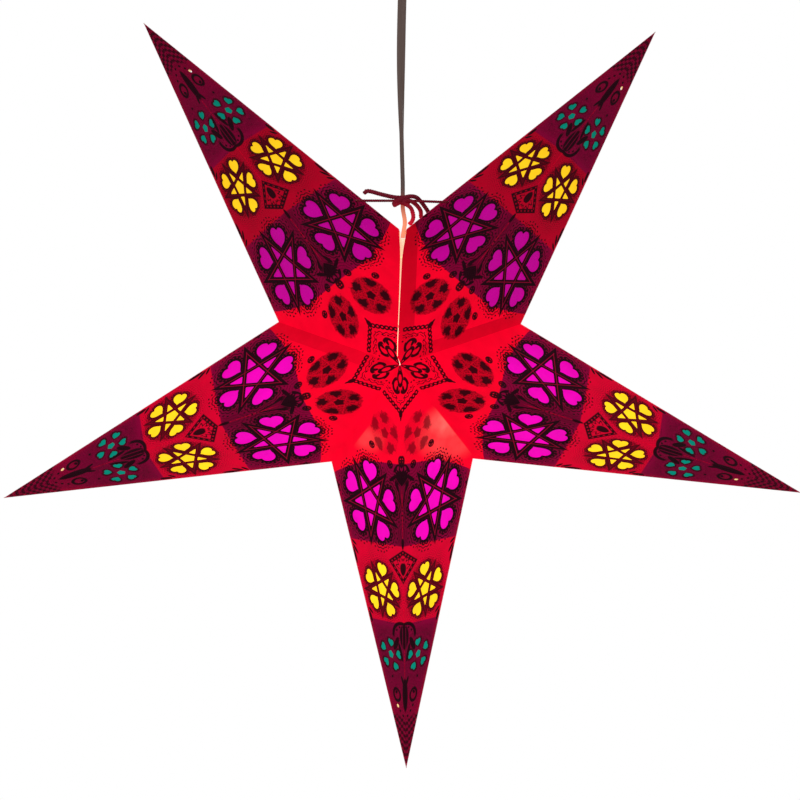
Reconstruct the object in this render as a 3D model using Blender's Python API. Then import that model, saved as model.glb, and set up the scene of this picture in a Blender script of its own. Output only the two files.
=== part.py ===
"""Folding paper star lantern: five printed card arms with tissue behind their cut windows,
hung by a string tie on a flat flex, with a lampholder, a bulb and a ceiling rose.

Metres, +Z up, +Y away from the viewer. The origin is on the flat top of the ceiling rose."""

import math

import bmesh
import bpy
from mathutils import Matrix, Vector

MM = 0.001

# Star: the folded shape of the card
TIP_RADIUS = 318 * MM
NOTCH_SHARE = 98 / 318
HALF_DEPTH = 95 * MM
STAR_DROP = 330 * MM
SEAM_ANGLE = math.radians(3.0)
ARM_NAMES = ("upper_right", "right", "lower", "left", "upper_left")
HALF_NAMES = ("ccw", "cw")
FRONT, BACK = -1, 1
SIDE_NAMES = {FRONT: "front", BACK: "back"}
CARD = 0.4 * MM
NOTCH_RADIUS = TIP_RADIUS * NOTCH_SHARE

# Creases: how far each panel stops short of the fold lines
RIDGE_INSET = {FRONT: 1.0 * MM, BACK: 1.2 * MM}
VALLEY_INSET = {FRONT: 0.25 * MM, BACK: 0.8 * MM}
EDGE_INSET = 0.5 * MM

# Glue flaps along the valleys, and the light tab behind the open seam
FLAP_WIDTH = 11 * MM
FLAP_END = 14 * MM
FLAP_SLANT = 5 * MM
FLAP_MARGIN = 0.1 * MM
FLAP_THICKNESS_SHARE = 1.5
TAB_WIDTH = 9 * MM
TAB_TOP_WIDTH = 3.4 * MM
TAB_PLACE_SHARES = (0.33, 0.42, 0.66, 0.84, 0.93)

# Rosettes: places along each panel from the tip, and their reach within the panel
ROSETTE_PLACE_SHARES = (0.638, 0.43)
BUD_PLACE_SHARE = 0.276
ROSETTE_FILL_SHARE = 0.80
POINTS = 5
PENTAGON_SHARE = 0.27
LATTICE_SHARE = 0.11
HEART_TIP_SHARE = 0.50
HEART_SHOULDER_SHARES = (0.80, 0.27)
HEART_LOBE_SHARES = (0.98, 0.14)
HEART_DIP_SHARE = 0.88
BUD_PENTAGON_SHARE = 0.2
BUD_TIP_SHARE = 0.47
BUD_LOBE_SHARES = (0.80, 0.18)
BUD_DIP_SHARE = 0.74
TIP_HOLE_PLACE_SHARE = 0.152
TIP_HOLE_RADIUS = 2.6 * MM
TIP_HOLE_SIDES = 8

# Tissue behind the windows
TISSUE = 0.15 * MM
TISSUE_GAP = 0.3 * MM
TISSUE_RIDGE_MARGIN = 3.5 * MM
TISSUE_EDGE_MARGIN = 3.0 * MM
TISSUE_GLUE_MARGIN = 1.5 * MM
TISSUE_END_SHARE = 0.2

# String tie
STRING_RADIUS = 0.8 * MM
BOW_RADIUS = 1.4 * MM
STRING_SIDES = 2
TIE_RISE = 27 * MM
TIE_HEIGHT = NOTCH_RADIUS + TIE_RISE
TIE_HOLE_RADIUS = 2.8 * MM
TIE_HOLE_SIDES = 10
TIE_HOLE_MARGIN = 5.2 * MM
TIE_CLEARANCE = 1.2 * MM
TIE_START = 5.5 * MM
TIE_SPREAD = 2.2 * MM
TIE_STEP = 3.2 * MM
TIE_EDGE_SHARE = 0.4
TIE_BEND_SHARE = 0.15
TIE_PASS_SHARE = 0.8
KNOT_HALF_WIDTH = 3.5 * MM
KNOT_HALF_DEPTH = 5.1 * MM
KNOT_DROP = 4.8 * MM
KNOT_START_ANGLE = math.radians(-10)
KNOT_END_ANGLE = math.radians(400)
KNOT_STEPS = 20
BOW_STEP = 2.4 * MM

# Flat twin flex
FLEX_WIDTH = 6.6 * MM
FLEX_THICKNESS = 3.3 * MM
FLEX_WAIST_SHARE = 0.72
FLEX_CUT_RISE = 8 * MM
FLEX_CUT_HEIGHT = TIE_HEIGHT + FLEX_CUT_RISE
FLEX_CORE_ANGLES = tuple(math.radians(degrees) for degrees in (-70, -35, 0, 35, 70))
FLEX_STEP = 7 * MM
FLEX_TURN_TOP = 245 * MM
FLEX_TURN_BOTTOM = 170 * MM
FLEX_BOW = 0.9 * MM

# Lampholder, as heights above the centre of the star
GRIP_TOP = 91 * MM
GRIP_RADIUS = 4.5 * MM
GRIP_FLANGE_RADIUS = 6 * MM
GRIP_FLANGE_HEIGHT = 2.6 * MM
GRIP_SHANK_RADIUS = 3.5 * MM
GRIP_SHANK_LENGTH = 3 * MM
CAP_TOP = 76.7 * MM
CAP_TOP_RADIUS = 8 * MM
CAP_SHOULDER = 70.4 * MM
CAP_RADIUS = 14 * MM
CAP_SHOULDER_RADIUS = 12.4 * MM
CAP_SHOULDER_RISE = 3.6 * MM
CAP_BOTTOM = 44 * MM
HOLDER_WALL = 1.2 * MM
SKIRT_BOTTOM = 26 * MM
SKIRT_RADIUS = 14.4 * MM
INSERT_BOTTOM = 29 * MM
INSERT_TOP = 67 * MM
SOCKET_RADIUS = 7.5 * MM
SOCKET_TOP = 50.5 * MM
TURN_STEPS = 20

# Bulb, as heights above the centre of the star
BULB_BASE_RADIUS = 6.9 * MM
BULB_BASE_WALL = 0.8 * MM
BULB_BASE_BOTTOM = 23.5 * MM
BULB_BASE_TOP = 47 * MM
BULB_CONTACT_RADIUS = 2.5 * MM
BULB_CONTACT_HEIGHT = 1.8 * MM
BULB_NECK_TOP = 40 * MM
BULB_SPHERE_RADIUS = 22.5 * MM
BULB_BOTTOM = -36 * MM
BULB_GLASS = 0.8 * MM
BULB_SHOULDER_ANGLE = math.radians(50)
BULB_ARC_STEPS = 7

# Ceiling rose, as depths below the ceiling
PLATE_RADIUS = 37.9 * MM
PLATE_THICKNESS = 2.5 * MM
SCREW_HOLE_RADIUS = 2.2 * MM
SCREW_HOLE_SPACING = 48 * MM
CABLE_HOLE_RADIUS = 6 * MM
CABLE_HOLE_OFFSET = 24 * MM
ROSE_RIM = 0.5 * MM
ROSE_DEPTH = 34 * MM
ROSE_WALL = 1.8 * MM
ROSE_STRAIGHT = 12 * MM
ROSE_FLAT_RADIUS = 14 * MM
ROSE_ARC_STEPS = 4
GLAND_RADIUS = 7.5 * MM
GLAND_SHANK_RADIUS = 5 * MM
GLAND_LENGTH = 6 * MM
GLAND_SHANK = 5 * MM
SWING_GAP = 0.6 * MM
BLOCK_LENGTH = 24 * MM
BLOCK_WIDTH = 12 * MM
BLOCK_HEIGHT = 11 * MM
BLOCK_BEVEL = 1.5 * MM

# Fits
GAP = 0.3 * MM
CUT_OVERRUN = 1 * MM
MERGE = 0.001 * MM

ARMS = len(ARM_NAMES)
ARM_WEDGE = (math.tau - SEAM_ANGLE) / ARMS
STAR_CENTRE = Vector((0, 0, -STAR_DROP))


def clear_scene():
    for obj in list(bpy.data.objects):
        bpy.data.objects.remove(obj)


def material(name, colour, roughness, metallic=0.0):
    made = bpy.data.materials.new(name)
    made.use_nodes = True
    shader = made.node_tree.nodes["Principled BSDF"]
    shader.inputs["Base Color"].default_value = (*colour, 1)
    shader.inputs["Roughness"].default_value = roughness
    shader.inputs["Metallic"].default_value = metallic
    return made


def link(obj, made_material, parent=None, local=None):
    """Puts an object in the scene with its material, at a place in its parent's frame."""
    bpy.context.scene.collection.objects.link(obj)
    if made_material is not None:
        obj.data.materials.append(made_material)
    obj.parent = parent
    obj.matrix_local = local or Matrix()
    return obj


def empty(name, matrix, parent=None):
    return link(bpy.data.objects.new(name, None), None, parent, matrix)


def object_of(bm, name):
    bmesh.ops.remove_doubles(bm, verts=bm.verts, dist=MERGE)
    bmesh.ops.recalc_face_normals(bm, faces=bm.faces)
    mesh = bpy.data.meshes.new(name)
    bm.to_mesh(mesh)
    bm.free()
    return bpy.data.objects.new(name, mesh)


def polar(radius, angle):
    """A point of the middle plane, at an angle clockwise from straight up as the viewer sees it."""
    return Vector((radius * math.sin(angle), 0, radius * math.cos(angle)))


def arm_angle(arm):
    return SEAM_ANGLE / 2 + ARM_WEDGE * (arm + 0.5)


def notch_angle(notch):
    return SEAM_ANGLE / 2 + ARM_WEDGE * notch


class Panel:
    """One flat triangle of an arm, between the centre, the arm's tip and a notch.

    Its own frame starts at the centre, with X along the ridge crease and Z facing out."""

    def __init__(self, side, arm, half):
        self.side = side
        self.arm = arm
        self.half = half
        self.name = f"{ARM_NAMES[arm]}_arm_{SIDE_NAMES[side]}_{HALF_NAMES[half]}"
        centre = Vector((0, side * HALF_DEPTH, 0))
        tip = polar(TIP_RADIUS, arm_angle(arm))
        notch = polar(NOTCH_RADIUS, notch_angle(arm + half))
        along = (tip - centre).normalized()
        outward = along.cross(notch - centre).normalized()
        if outward.y * side < 0:
            outward.negate()
        across = outward.cross(along)
        self.frame = Matrix.Translation(centre) @ Matrix((along, across, outward)).transposed().to_4x4()
        self.ridge_length = (tip - centre).length
        self.tip = Vector((self.ridge_length, 0))
        self.notch = Vector(((notch - centre).dot(along), (notch - centre).dot(across)))
        self.hand = math.copysign(1, self.notch.y)
        edge = self.notch - self.tip
        self.half_tip_angle = math.atan2(abs(edge.y), -edge.x) / 2

    def on_bisector(self, share):
        """The point midway between ridge and outer edge, and its distance from them."""
        back = share * self.ridge_length
        reach = back * math.tan(self.half_tip_angle)
        return Vector((self.ridge_length - back, self.hand * reach)), reach

    def on_valley(self, share, inward):
        """A point at a share of the valley crease from the centre, and a distance into the panel."""
        crease = self.notch.normalized()
        into = Vector((crease.y, -crease.x)) * self.hand
        return self.notch * share + into * inward

    def outline(self, ridge, valley, edge):
        return inset_corners((Vector((0, 0)), self.notch, self.tip), (valley, edge, ridge))


def inset_corners(corners, insets):
    """The corners of a convex outline with each side, from its corner to the next, moved inwards."""
    middle = sum(corners, Vector((0, 0))) / len(corners)
    lines = []
    for place, corner in enumerate(corners):
        run = (corners[(place + 1) % len(corners)] - corner).normalized()
        inwards = Vector((-run.y, run.x))
        if inwards.dot(middle - corner) < 0:
            inwards.negate()
        lines.append((corner + inwards * insets[place], run, inwards))
    moved = []
    for place, (start, _, inwards) in enumerate(lines):
        before, run, _ = lines[place - 1]
        moved.append(before + run * ((start - before).dot(inwards) / run.dot(inwards)))
    return moved


def flat_plate(name, outline, holes, thickness, top):
    """A sheet cut to an outline with holes, its upper face at the height top."""
    curve = bpy.data.curves.new(name, "CURVE")
    curve.dimensions = "2D"
    curve.fill_mode = "BOTH"
    curve.extrude = thickness / 2
    for points in (outline, *holes):
        spline = curve.splines.new("POLY")
        spline.points.add(len(points) - 1)
        for point, place in zip(spline.points, points):
            point.co = (place.x, place.y, 0, 1)
        spline.use_cyclic_u = True
    pattern = bpy.data.objects.new(name, curve)
    bm = bmesh.new()
    bm.from_mesh(bpy.data.meshes.new_from_object(pattern))
    bpy.data.objects.remove(pattern)
    bmesh.ops.translate(bm, verts=bm.verts, vec=(0, 0, top - thickness / 2))
    return object_of(bm, name)


def around(centre, radius, angle):
    return centre + Vector((math.cos(angle), math.sin(angle))) * radius


def round_hole(centre, radius, sides):
    return [around(centre, radius, math.tau * side / sides) for side in range(sides)]


def motif(panel, centre, radius, shares, angle):
    """A window's outline, from shares of the radius along and across a line out from the centre."""
    line = Vector((math.cos(angle), math.sin(angle)))
    side = Vector((-line.y, line.x))
    places = [(line * along + side * across) * radius for along, across in shares]
    return [centre + Vector((place.x, place.y * panel.hand)) for place in places]


def pentagon(share):
    angles = [math.tau * n / POINTS for n in range(POINTS)]
    return [(share * math.cos(angle), share * math.sin(angle)) for angle in angles]


def bud_windows(panel, centre, radius):
    """A small pentagon with five small hearts round it."""
    lobe, half_lobe = BUD_LOBE_SHARES
    heart = [(BUD_TIP_SHARE, 0), (lobe, half_lobe), (BUD_DIP_SHARE, 0), (lobe, -half_lobe)]
    angles = [math.pi + math.tau * n / POINTS for n in range(POINTS)]
    hearts = [motif(panel, centre, radius, heart, angle) for angle in angles]
    return [motif(panel, centre, radius, pentagon(BUD_PENTAGON_SHARE), math.pi), *hearts]


def rosette_windows(panel, centre, radius):
    """A five-pointed lattice: a pentagon, a triangle in each point and a heart in each notch."""
    crossing = PENTAGON_SHARE + LATTICE_SHARE / 2 / math.cos(math.pi / POINTS)
    star_tip = crossing * (math.cos(math.pi / POINTS) / math.cos(math.tau / POINTS))
    turn = math.tau / POINTS
    windows = [motif(panel, centre, radius, pentagon(PENTAGON_SHARE), math.pi)]
    base = crossing * math.cos(turn / 2)
    half_base = crossing * math.sin(turn / 2)
    point = [Vector((star_tip, 0)), Vector((base, half_base)), Vector((base, -half_base))]
    triangle = [(corner.x, corner.y) for corner in inset_corners(point, [LATTICE_SHARE / 2] * len(point))]
    (shoulder, half_width), (lobe, half_lobe) = HEART_SHOULDER_SHARES, HEART_LOBE_SHARES
    heart = [
        (HEART_TIP_SHARE, 0), (shoulder, half_width), (lobe, half_lobe),
        (HEART_DIP_SHARE, 0), (lobe, -half_lobe), (shoulder, -half_width),
    ]
    for n in range(POINTS):
        windows.append(motif(panel, centre, radius, heart, math.pi + turn * n))
        windows.append(motif(panel, centre, radius, triangle, math.pi + turn * (n + 0.5)))
    return windows


def at_seam(panel):
    return (panel.arm, panel.half) in ((0, 0), (ARMS - 1, 1))


def has_flap(panel):
    """The next arm's flap is glued inside each clockwise half, and the seam's front lip has a hem."""
    glued = panel.half == 1 and panel.arm < ARMS - 1
    hemmed = at_seam(panel) and panel.half == 0 and panel.side == FRONT
    return glued or hemmed


def tie_hole(panel):
    """Where the string passes through a seam panel, beside its outer edge at the height of the tie."""
    notch = polar(NOTCH_RADIUS, notch_angle(panel.arm + panel.half))
    tip = polar(TIP_RADIUS, arm_angle(panel.arm))
    share = (TIE_HEIGHT - notch.z) / (tip.z - notch.z)
    along_edge = panel.notch + (panel.tip - panel.notch) * share
    run = (panel.tip - panel.notch).normalized()
    into = Vector((run.y, -run.x))
    if into.dot(panel.notch) > 0:
        into.negate()
    return along_edge + into * TIE_HOLE_MARGIN


def glue_flap(panel):
    """The outline of the strip glued along the valley, with slanted ends."""
    length = panel.notch.length
    near = VALLEY_INSET[panel.side] + FLAP_MARGIN
    spans = ((FLAP_END, near), (FLAP_END + FLAP_SLANT, FLAP_WIDTH))
    starts = [panel.on_valley(along / length, inward) for along, inward in spans]
    ends = [panel.on_valley(1 - along / length, inward) for along, inward in reversed(spans)]
    return starts + ends


def light_tab(panel):
    """Points that carry the seam's back lip past its crease, to stop light between the lips."""
    places = zip(TAB_PLACE_SHARES, (0, TAB_WIDTH, TAB_WIDTH, TAB_TOP_WIDTH, 0))
    return [panel.on_valley(share, VALLEY_INSET[panel.side] - width) for share, width in places]


def make_panel(panel, hinge, local, card):
    outline = panel.outline(RIDGE_INSET[panel.side], VALLEY_INSET[panel.side], EDGE_INSET)
    holes = []
    for share in ROSETTE_PLACE_SHARES:
        centre, reach = panel.on_bisector(share)
        holes += rosette_windows(panel, centre, reach * ROSETTE_FILL_SHARE)
    centre, reach = panel.on_bisector(BUD_PLACE_SHARE)
    holes += bud_windows(panel, centre, reach * ROSETTE_FILL_SHARE)
    if panel.half == 1:
        holes.append(round_hole(panel.on_bisector(TIP_HOLE_PLACE_SHARE)[0], TIP_HOLE_RADIUS, TIP_HOLE_SIDES))
    if at_seam(panel):
        holes.append(round_hole(tie_hole(panel), TIE_HOLE_RADIUS, TIE_HOLE_SIDES))
        if panel.half == 0 and panel.side == BACK:
            outline = outline[:1] + light_tab(panel) + outline[1:]
    plate = link(flat_plate(panel.name, outline, holes, CARD, 0), card, hinge, local)
    if has_flap(panel):
        thickness = CARD * FLAP_THICKNESS_SHARE
        top = -CARD - CARD + thickness
        flap = flat_plate(f"{panel.name}_flap_tool", glue_flap(panel), (), thickness, top)
        link(flap, None, hinge, local)
        flap.hide_render = True
        flap.display_type = "WIRE"
        union = plate.modifiers.new("glued flap", "BOOLEAN")
        union.operation = "UNION"
        union.object = flap


def make_tissue(panel, hinge, local, tissue):
    glue_line = FLAP_WIDTH + TISSUE_GLUE_MARGIN
    edge_line = TISSUE_EDGE_MARGIN
    if at_seam(panel):
        edge_line = TIE_HOLE_MARGIN + TIE_HOLE_RADIUS + GAP
    inner, at_notch, at_tip = panel.outline(TISSUE_RIDGE_MARGIN, glue_line, edge_line)
    end = panel.ridge_length * (1 - TISSUE_END_SHARE)
    cut = [start.lerp(at_tip, (end - start.x) / (at_tip.x - start.x)) for start in (at_notch, inner)]
    sheet = flat_plate(f"{panel.name}_tissue", [inner, at_notch, *cut], (), TISSUE, -CARD - TISSUE_GAP)
    link(sheet, tissue, hinge, local)


def make_star(star, card, tissue):
    for side in (FRONT, BACK):
        for arm in range(ARMS):
            for half in range(len(HALF_NAMES)):
                panel = Panel(side, arm, half)
                on_axis = Matrix()
                if side == BACK:
                    on_axis = Matrix.Translation((panel.ridge_length, 0, 0))
                hinge = empty(f"{panel.name}_crease", panel.frame @ on_axis, star)
                local = on_axis.inverted()
                make_panel(panel, hinge, local, card)
                make_tissue(panel, hinge, local, tissue)


def smooth_route(points, step):
    """Points at even steps along a smooth curve through hand-placed points."""
    padded = [2 * points[0] - points[1], *points, 2 * points[-1] - points[-2]]
    dense = []
    for before, start, end, after in zip(padded, padded[1:], padded[2:], padded[3:]):
        count = max(1, round((end - start).length / step))
        for n in range(count):
            t = n / count
            dense.append(
                (2 * start + (end - before) * t + (2 * before - 5 * start + 4 * end - after) * t * t
                 + (3 * start - before - 3 * end + after) * t ** 3) / 2
            )
    return dense + [points[-1]]


def string(name, points, radius, parent, made_material):
    """A round string as one tube along a route."""
    curve = bpy.data.curves.new(name, "CURVE")
    curve.dimensions = "3D"
    curve.bevel_depth = radius
    curve.bevel_resolution = STRING_SIDES
    curve.use_fill_caps = True
    spline = curve.splines.new("POLY")
    spline.points.add(len(points) - 1)
    for point, place in zip(spline.points, points):
        point.co = (*place, 1)
    return link(bpy.data.objects.new(name, curve), made_material, parent)


def tie_side(name, arm, half, star, made_material):
    """A string looped through the seam arm's two holes, its ends at the knot in front and behind."""
    panel = Panel(FRONT, arm, half)
    hole = panel.frame @ tie_hole(panel).to_3d()
    outer = -hole.y + TIE_CLEARANCE + STRING_RADIUS
    start = Vector((math.copysign(TIE_START, hole.x), -TIE_SPREAD, TIE_HEIGHT))
    over_edge = hole.lerp(start, TIE_EDGE_SHARE)
    over_edge.y = -outer
    corner = hole.copy()
    corner.y = -outer
    passing = Vector((hole.x, -abs(hole.y) * TIE_PASS_SHARE, hole.z))
    front = [start, over_edge, corner.lerp(over_edge, TIE_BEND_SHARE), passing]
    back = [Vector((place.x, -place.y, place.z)) for place in reversed(front)]
    string(name, smooth_route(front + back, TIE_STEP), STRING_RADIUS, star, made_material)


def tie_bow(star, made_material):
    """The tail, the turn round the flex, the bow's loop and the curled end, as one string."""
    tail = [(-25.8, -6.5, 6.8), (-18, -7.4, 5.6), (-10, -7.0, 3.8), (-5.2, -5.8, 2.8)]
    loop = [
        (6.2, -7.4, -2.4), (12, -8.6, 0.6), (18.6, -8.6, 0.4), (23.8, -8.2, -4.2), (20, -8.2, -8),
        (13.4, -8.8, -6.8), (8, -9.6, -3.8), (3.2, -10, -2.6), (0.9, -9.4, -5.6), (4.6, -8, -9.8),
        (10.4, -7, -12), (9.6, -6.6, -15.6), (6.8, -6.5, -16.7),
    ]
    height = Vector((0, 0, TIE_HEIGHT))
    turns = []
    for step in range(KNOT_STEPS + 1):
        share = step / KNOT_STEPS
        angle = KNOT_START_ANGLE + (KNOT_END_ANGLE - KNOT_START_ANGLE) * share
        across = Vector((KNOT_HALF_WIDTH * math.sin(angle), -KNOT_HALF_DEPTH * math.cos(angle), 0))
        turns.append(height + across + Vector((0, 0, KNOT_DROP * (0.5 - share))))
    before = [height + Vector(place) * MM for place in tail]
    after = [height + Vector(place) * MM for place in loop]
    string("tie_bow", smooth_route(before + turns + after, BOW_STEP), BOW_RADIUS, star, made_material)


def flex_section():
    """Half-widths of the twin flex, as a ring of points: two round cores with a waist between."""
    core = FLEX_THICKNESS / 2
    middle = FLEX_WIDTH / 2 - core
    right = [Vector((middle + core * math.cos(angle), core * math.sin(angle))) for angle in FLEX_CORE_ANGLES]
    waist = Vector((0, core * FLEX_WAIST_SHARE))
    return right + [waist] + [-point for point in right] + [-waist]


def flex(name, bottom, top, bow, parent, made_material):
    """A stretch of flat flex, lofted through rings that turn with its twist."""
    count = max(2, round((top - bottom) / FLEX_STEP))
    section = flex_section()
    bm = bmesh.new()
    rings = []
    for n in range(count + 1):
        height = bottom + (top - bottom) * n / count
        share = (height - FLEX_TURN_BOTTOM) / (FLEX_TURN_TOP - FLEX_TURN_BOTTOM)
        share = min(1, max(0, share))
        turn = Matrix.Rotation((1 - share) * math.pi / 2, 2)
        sway = bow * math.sin(math.pi * n / count)
        ring = [bm.verts.new((*(turn @ point + Vector((sway, 0))), height)) for point in section]
        rings.append(ring)
    for lower, upper in zip(rings, rings[1:]):
        for n in range(len(section)):
            bm.faces.new((lower[n - 1], lower[n], upper[n], upper[n - 1]))
    bm.faces.new(rings[0])
    bm.faces.new(rings[-1])
    return link(object_of(bm, name), made_material, parent)


def turned(name, profile, parent, made_material, steps=TURN_STEPS, closed=True):
    """A solid of revolution about Z, from radius and height pairs down the outside.

    A closed profile is a ring; an open one starts and ends on the axis."""
    mesh = bpy.data.meshes.new(name)
    count = len(profile)
    edges = [(n, (n + 1) % count) for n in range(count if closed else count - 1)]
    mesh.from_pydata([(radius, 0, height) for radius, height in profile], edges, [])
    obj = link(bpy.data.objects.new(name, mesh), made_material, parent)
    screw = obj.modifiers.new("turning", "SCREW")
    screw.steps = steps
    screw.render_steps = steps
    screw.use_merge_vertices = True
    screw.merge_threshold = MERGE
    screw.use_smooth_shade = False
    return obj


def make_lampholder(lamp, plastic, ceramic):
    shank_bottom = CAP_TOP - GRIP_SHANK_LENGTH
    flange_bottom = CAP_TOP + GAP
    flange_top = flange_bottom + GRIP_FLANGE_HEIGHT
    chamfer = GRIP_RADIUS - GRIP_SHANK_RADIUS
    turned("holder_cord_grip", [
        (0, GRIP_TOP), (GRIP_SHANK_RADIUS, GRIP_TOP), (GRIP_RADIUS, GRIP_TOP - chamfer),
        (GRIP_RADIUS, flange_top), (GRIP_FLANGE_RADIUS, flange_top), (GRIP_FLANGE_RADIUS, flange_bottom),
        (GRIP_SHANK_RADIUS, flange_bottom), (GRIP_SHANK_RADIUS, shank_bottom), (0, shank_bottom),
    ], lamp, plastic, closed=False)
    hole = GRIP_SHANK_RADIUS + GAP
    bore = CAP_RADIUS - HOLDER_WALL
    inside = CAP_TOP - HOLDER_WALL
    turned("holder_cap", [
        (hole, CAP_TOP), (CAP_TOP_RADIUS, CAP_TOP),
        (CAP_SHOULDER_RADIUS, CAP_SHOULDER + CAP_SHOULDER_RISE), (CAP_RADIUS, CAP_SHOULDER),
        (CAP_RADIUS, CAP_BOTTOM), (bore, CAP_BOTTOM), (bore, CAP_SHOULDER - HOLDER_WALL),
        (CAP_SHOULDER_RADIUS - HOLDER_WALL, CAP_SHOULDER + CAP_SHOULDER_RISE - HOLDER_WALL),
        (CAP_TOP_RADIUS - HOLDER_WALL, inside), (hole, inside),
    ], lamp, plastic)
    skirt_top = CAP_BOTTOM - GAP
    lip = SOCKET_RADIUS + HOLDER_WALL
    floor = SKIRT_BOTTOM + HOLDER_WALL
    skirt_bore = SKIRT_RADIUS - HOLDER_WALL
    turned("holder_skirt", [
        (SKIRT_RADIUS, skirt_top), (SKIRT_RADIUS, floor), (skirt_bore, SKIRT_BOTTOM), (lip, SKIRT_BOTTOM),
        (lip, floor), (skirt_bore, floor), (skirt_bore, skirt_top),
    ], lamp, plastic)
    insert = bore - GAP
    turned("holder_insert", [
        (0, INSERT_TOP), (insert, INSERT_TOP), (insert, INSERT_BOTTOM), (SOCKET_RADIUS, INSERT_BOTTOM),
        (SOCKET_RADIUS, SOCKET_TOP), (0, SOCKET_TOP),
    ], lamp, ceramic, closed=False)


def make_bulb(bulb, glass, brass):
    neck = BULB_BASE_RADIUS - BULB_BASE_WALL - GAP
    bore = neck + GAP
    roof = BULB_BASE_TOP - BULB_BASE_WALL
    slope = BULB_BASE_RADIUS - BULB_CONTACT_RADIUS
    turned("bulb_base", [
        (0, BULB_BASE_TOP + BULB_CONTACT_HEIGHT), (BULB_CONTACT_RADIUS, BULB_BASE_TOP + BULB_CONTACT_HEIGHT),
        (BULB_CONTACT_RADIUS, BULB_BASE_TOP), (BULB_BASE_RADIUS, BULB_BASE_TOP - slope),
        (BULB_BASE_RADIUS, BULB_BASE_BOTTOM), (bore, BULB_BASE_BOTTOM), (bore, BULB_BASE_TOP - slope),
        (BULB_CONTACT_RADIUS, roof), (0, roof),
    ], bulb, brass, closed=False)
    centre = BULB_BOTTOM + BULB_SPHERE_RADIUS
    shoulder = BULB_BASE_BOTTOM - GAP

    def wall(radius, throat):
        """The neck and the globe of one face of the glass, from its mouth to its foot."""
        sweep = math.pi - BULB_SHOULDER_ANGLE
        angles = [BULB_SHOULDER_ANGLE + sweep * n / BULB_ARC_STEPS for n in range(BULB_ARC_STEPS + 1)]
        globe = [(radius * math.sin(angle), centre + radius * math.cos(angle)) for angle in angles]
        return [(throat, BULB_NECK_TOP), (throat, shoulder)] + globe[:-1] + [(0, centre - radius)]

    outer = wall(BULB_SPHERE_RADIUS, neck)
    inner = wall(BULB_SPHERE_RADIUS - BULB_GLASS, neck - BULB_GLASS)
    turned("bulb_glass", inner[::-1] + outer, bulb, glass, closed=False)


def cylinder_tool(name, radius, centre, depth, parent):
    bm = bmesh.new()
    bmesh.ops.create_cone(
        bm, cap_ends=True, segments=TURN_STEPS, radius1=radius, radius2=radius, depth=depth,
        matrix=Matrix.Translation(centre),
    )
    tool = link(object_of(bm, name), None, parent)
    tool.hide_render = True
    tool.display_type = "WIRE"
    return tool


def make_rose(rose, plastic, ceramic):
    plate = turned("ceiling_plate", [
        (0, 0), (PLATE_RADIUS, 0), (PLATE_RADIUS, -PLATE_THICKNESS), (0, -PLATE_THICKNESS),
    ], rose, plastic, closed=False)
    places = {
        "left_screw": (-SCREW_HOLE_SPACING / 2, 0, SCREW_HOLE_RADIUS),
        "right_screw": (SCREW_HOLE_SPACING / 2, 0, SCREW_HOLE_RADIUS),
        "cable": (0, CABLE_HOLE_OFFSET, CABLE_HOLE_RADIUS),
    }
    for name, (across, away, radius) in places.items():
        centre = Vector((across, away, -PLATE_THICKNESS / 2))
        cut = plate.modifiers.new(name, "BOOLEAN")
        cut.object = cylinder_tool(f"{name}_tool", radius, centre, PLATE_THICKNESS + 2 * CUT_OVERRUN, rose)

    outer_radius = PLATE_RADIUS + GAP + ROSE_WALL
    hole = GLAND_SHANK_RADIUS + GAP

    def dome(radius, bottom):
        """One face of the cup, from its rim round to the flat at its foot."""
        drop = bottom + ROSE_STRAIGHT
        points = [(radius, -ROSE_RIM)]
        for n in range(ROSE_ARC_STEPS + 1):
            angle = math.pi / 2 * n / ROSE_ARC_STEPS
            sweep = (radius - ROSE_FLAT_RADIUS) * math.cos(angle)
            points.append((ROSE_FLAT_RADIUS + sweep, -ROSE_STRAIGHT + drop * math.sin(angle)))
        return points + [(hole, bottom)]

    outside = dome(outer_radius, -ROSE_DEPTH)
    inside = dome(outer_radius - ROSE_WALL, -ROSE_DEPTH + ROSE_WALL)
    turned("rose_cup", outside + inside[::-1], rose, plastic)
    flange_top = -ROSE_DEPTH - GAP
    gland_bottom = flange_top - GLAND_LENGTH
    taper = GLAND_RADIUS - GLAND_SHANK_RADIUS
    turned("rose_cord_gland", [
        (0, flange_top + GLAND_SHANK), (GLAND_SHANK_RADIUS, flange_top + GLAND_SHANK),
        (GLAND_SHANK_RADIUS, flange_top), (GLAND_RADIUS, flange_top),
        (GLAND_RADIUS, gland_bottom + taper), (GLAND_SHANK_RADIUS, gland_bottom), (0, gland_bottom),
    ], rose, plastic, closed=False)
    bm = bmesh.new()
    size = Matrix.Diagonal((BLOCK_LENGTH, BLOCK_WIDTH, BLOCK_HEIGHT, 1))
    centre = Matrix.Translation((0, 0, -PLATE_THICKNESS - GAP - BLOCK_HEIGHT / 2))
    bmesh.ops.create_cube(bm, size=1, matrix=centre @ size)
    block = link(object_of(bm, "terminal_block"), ceramic, rose)
    bevel = block.modifiers.new("soft edges", "BEVEL")
    bevel.width = BLOCK_BEVEL
    bevel.segments = 1
    return STAR_DROP + gland_bottom - SWING_GAP


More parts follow.
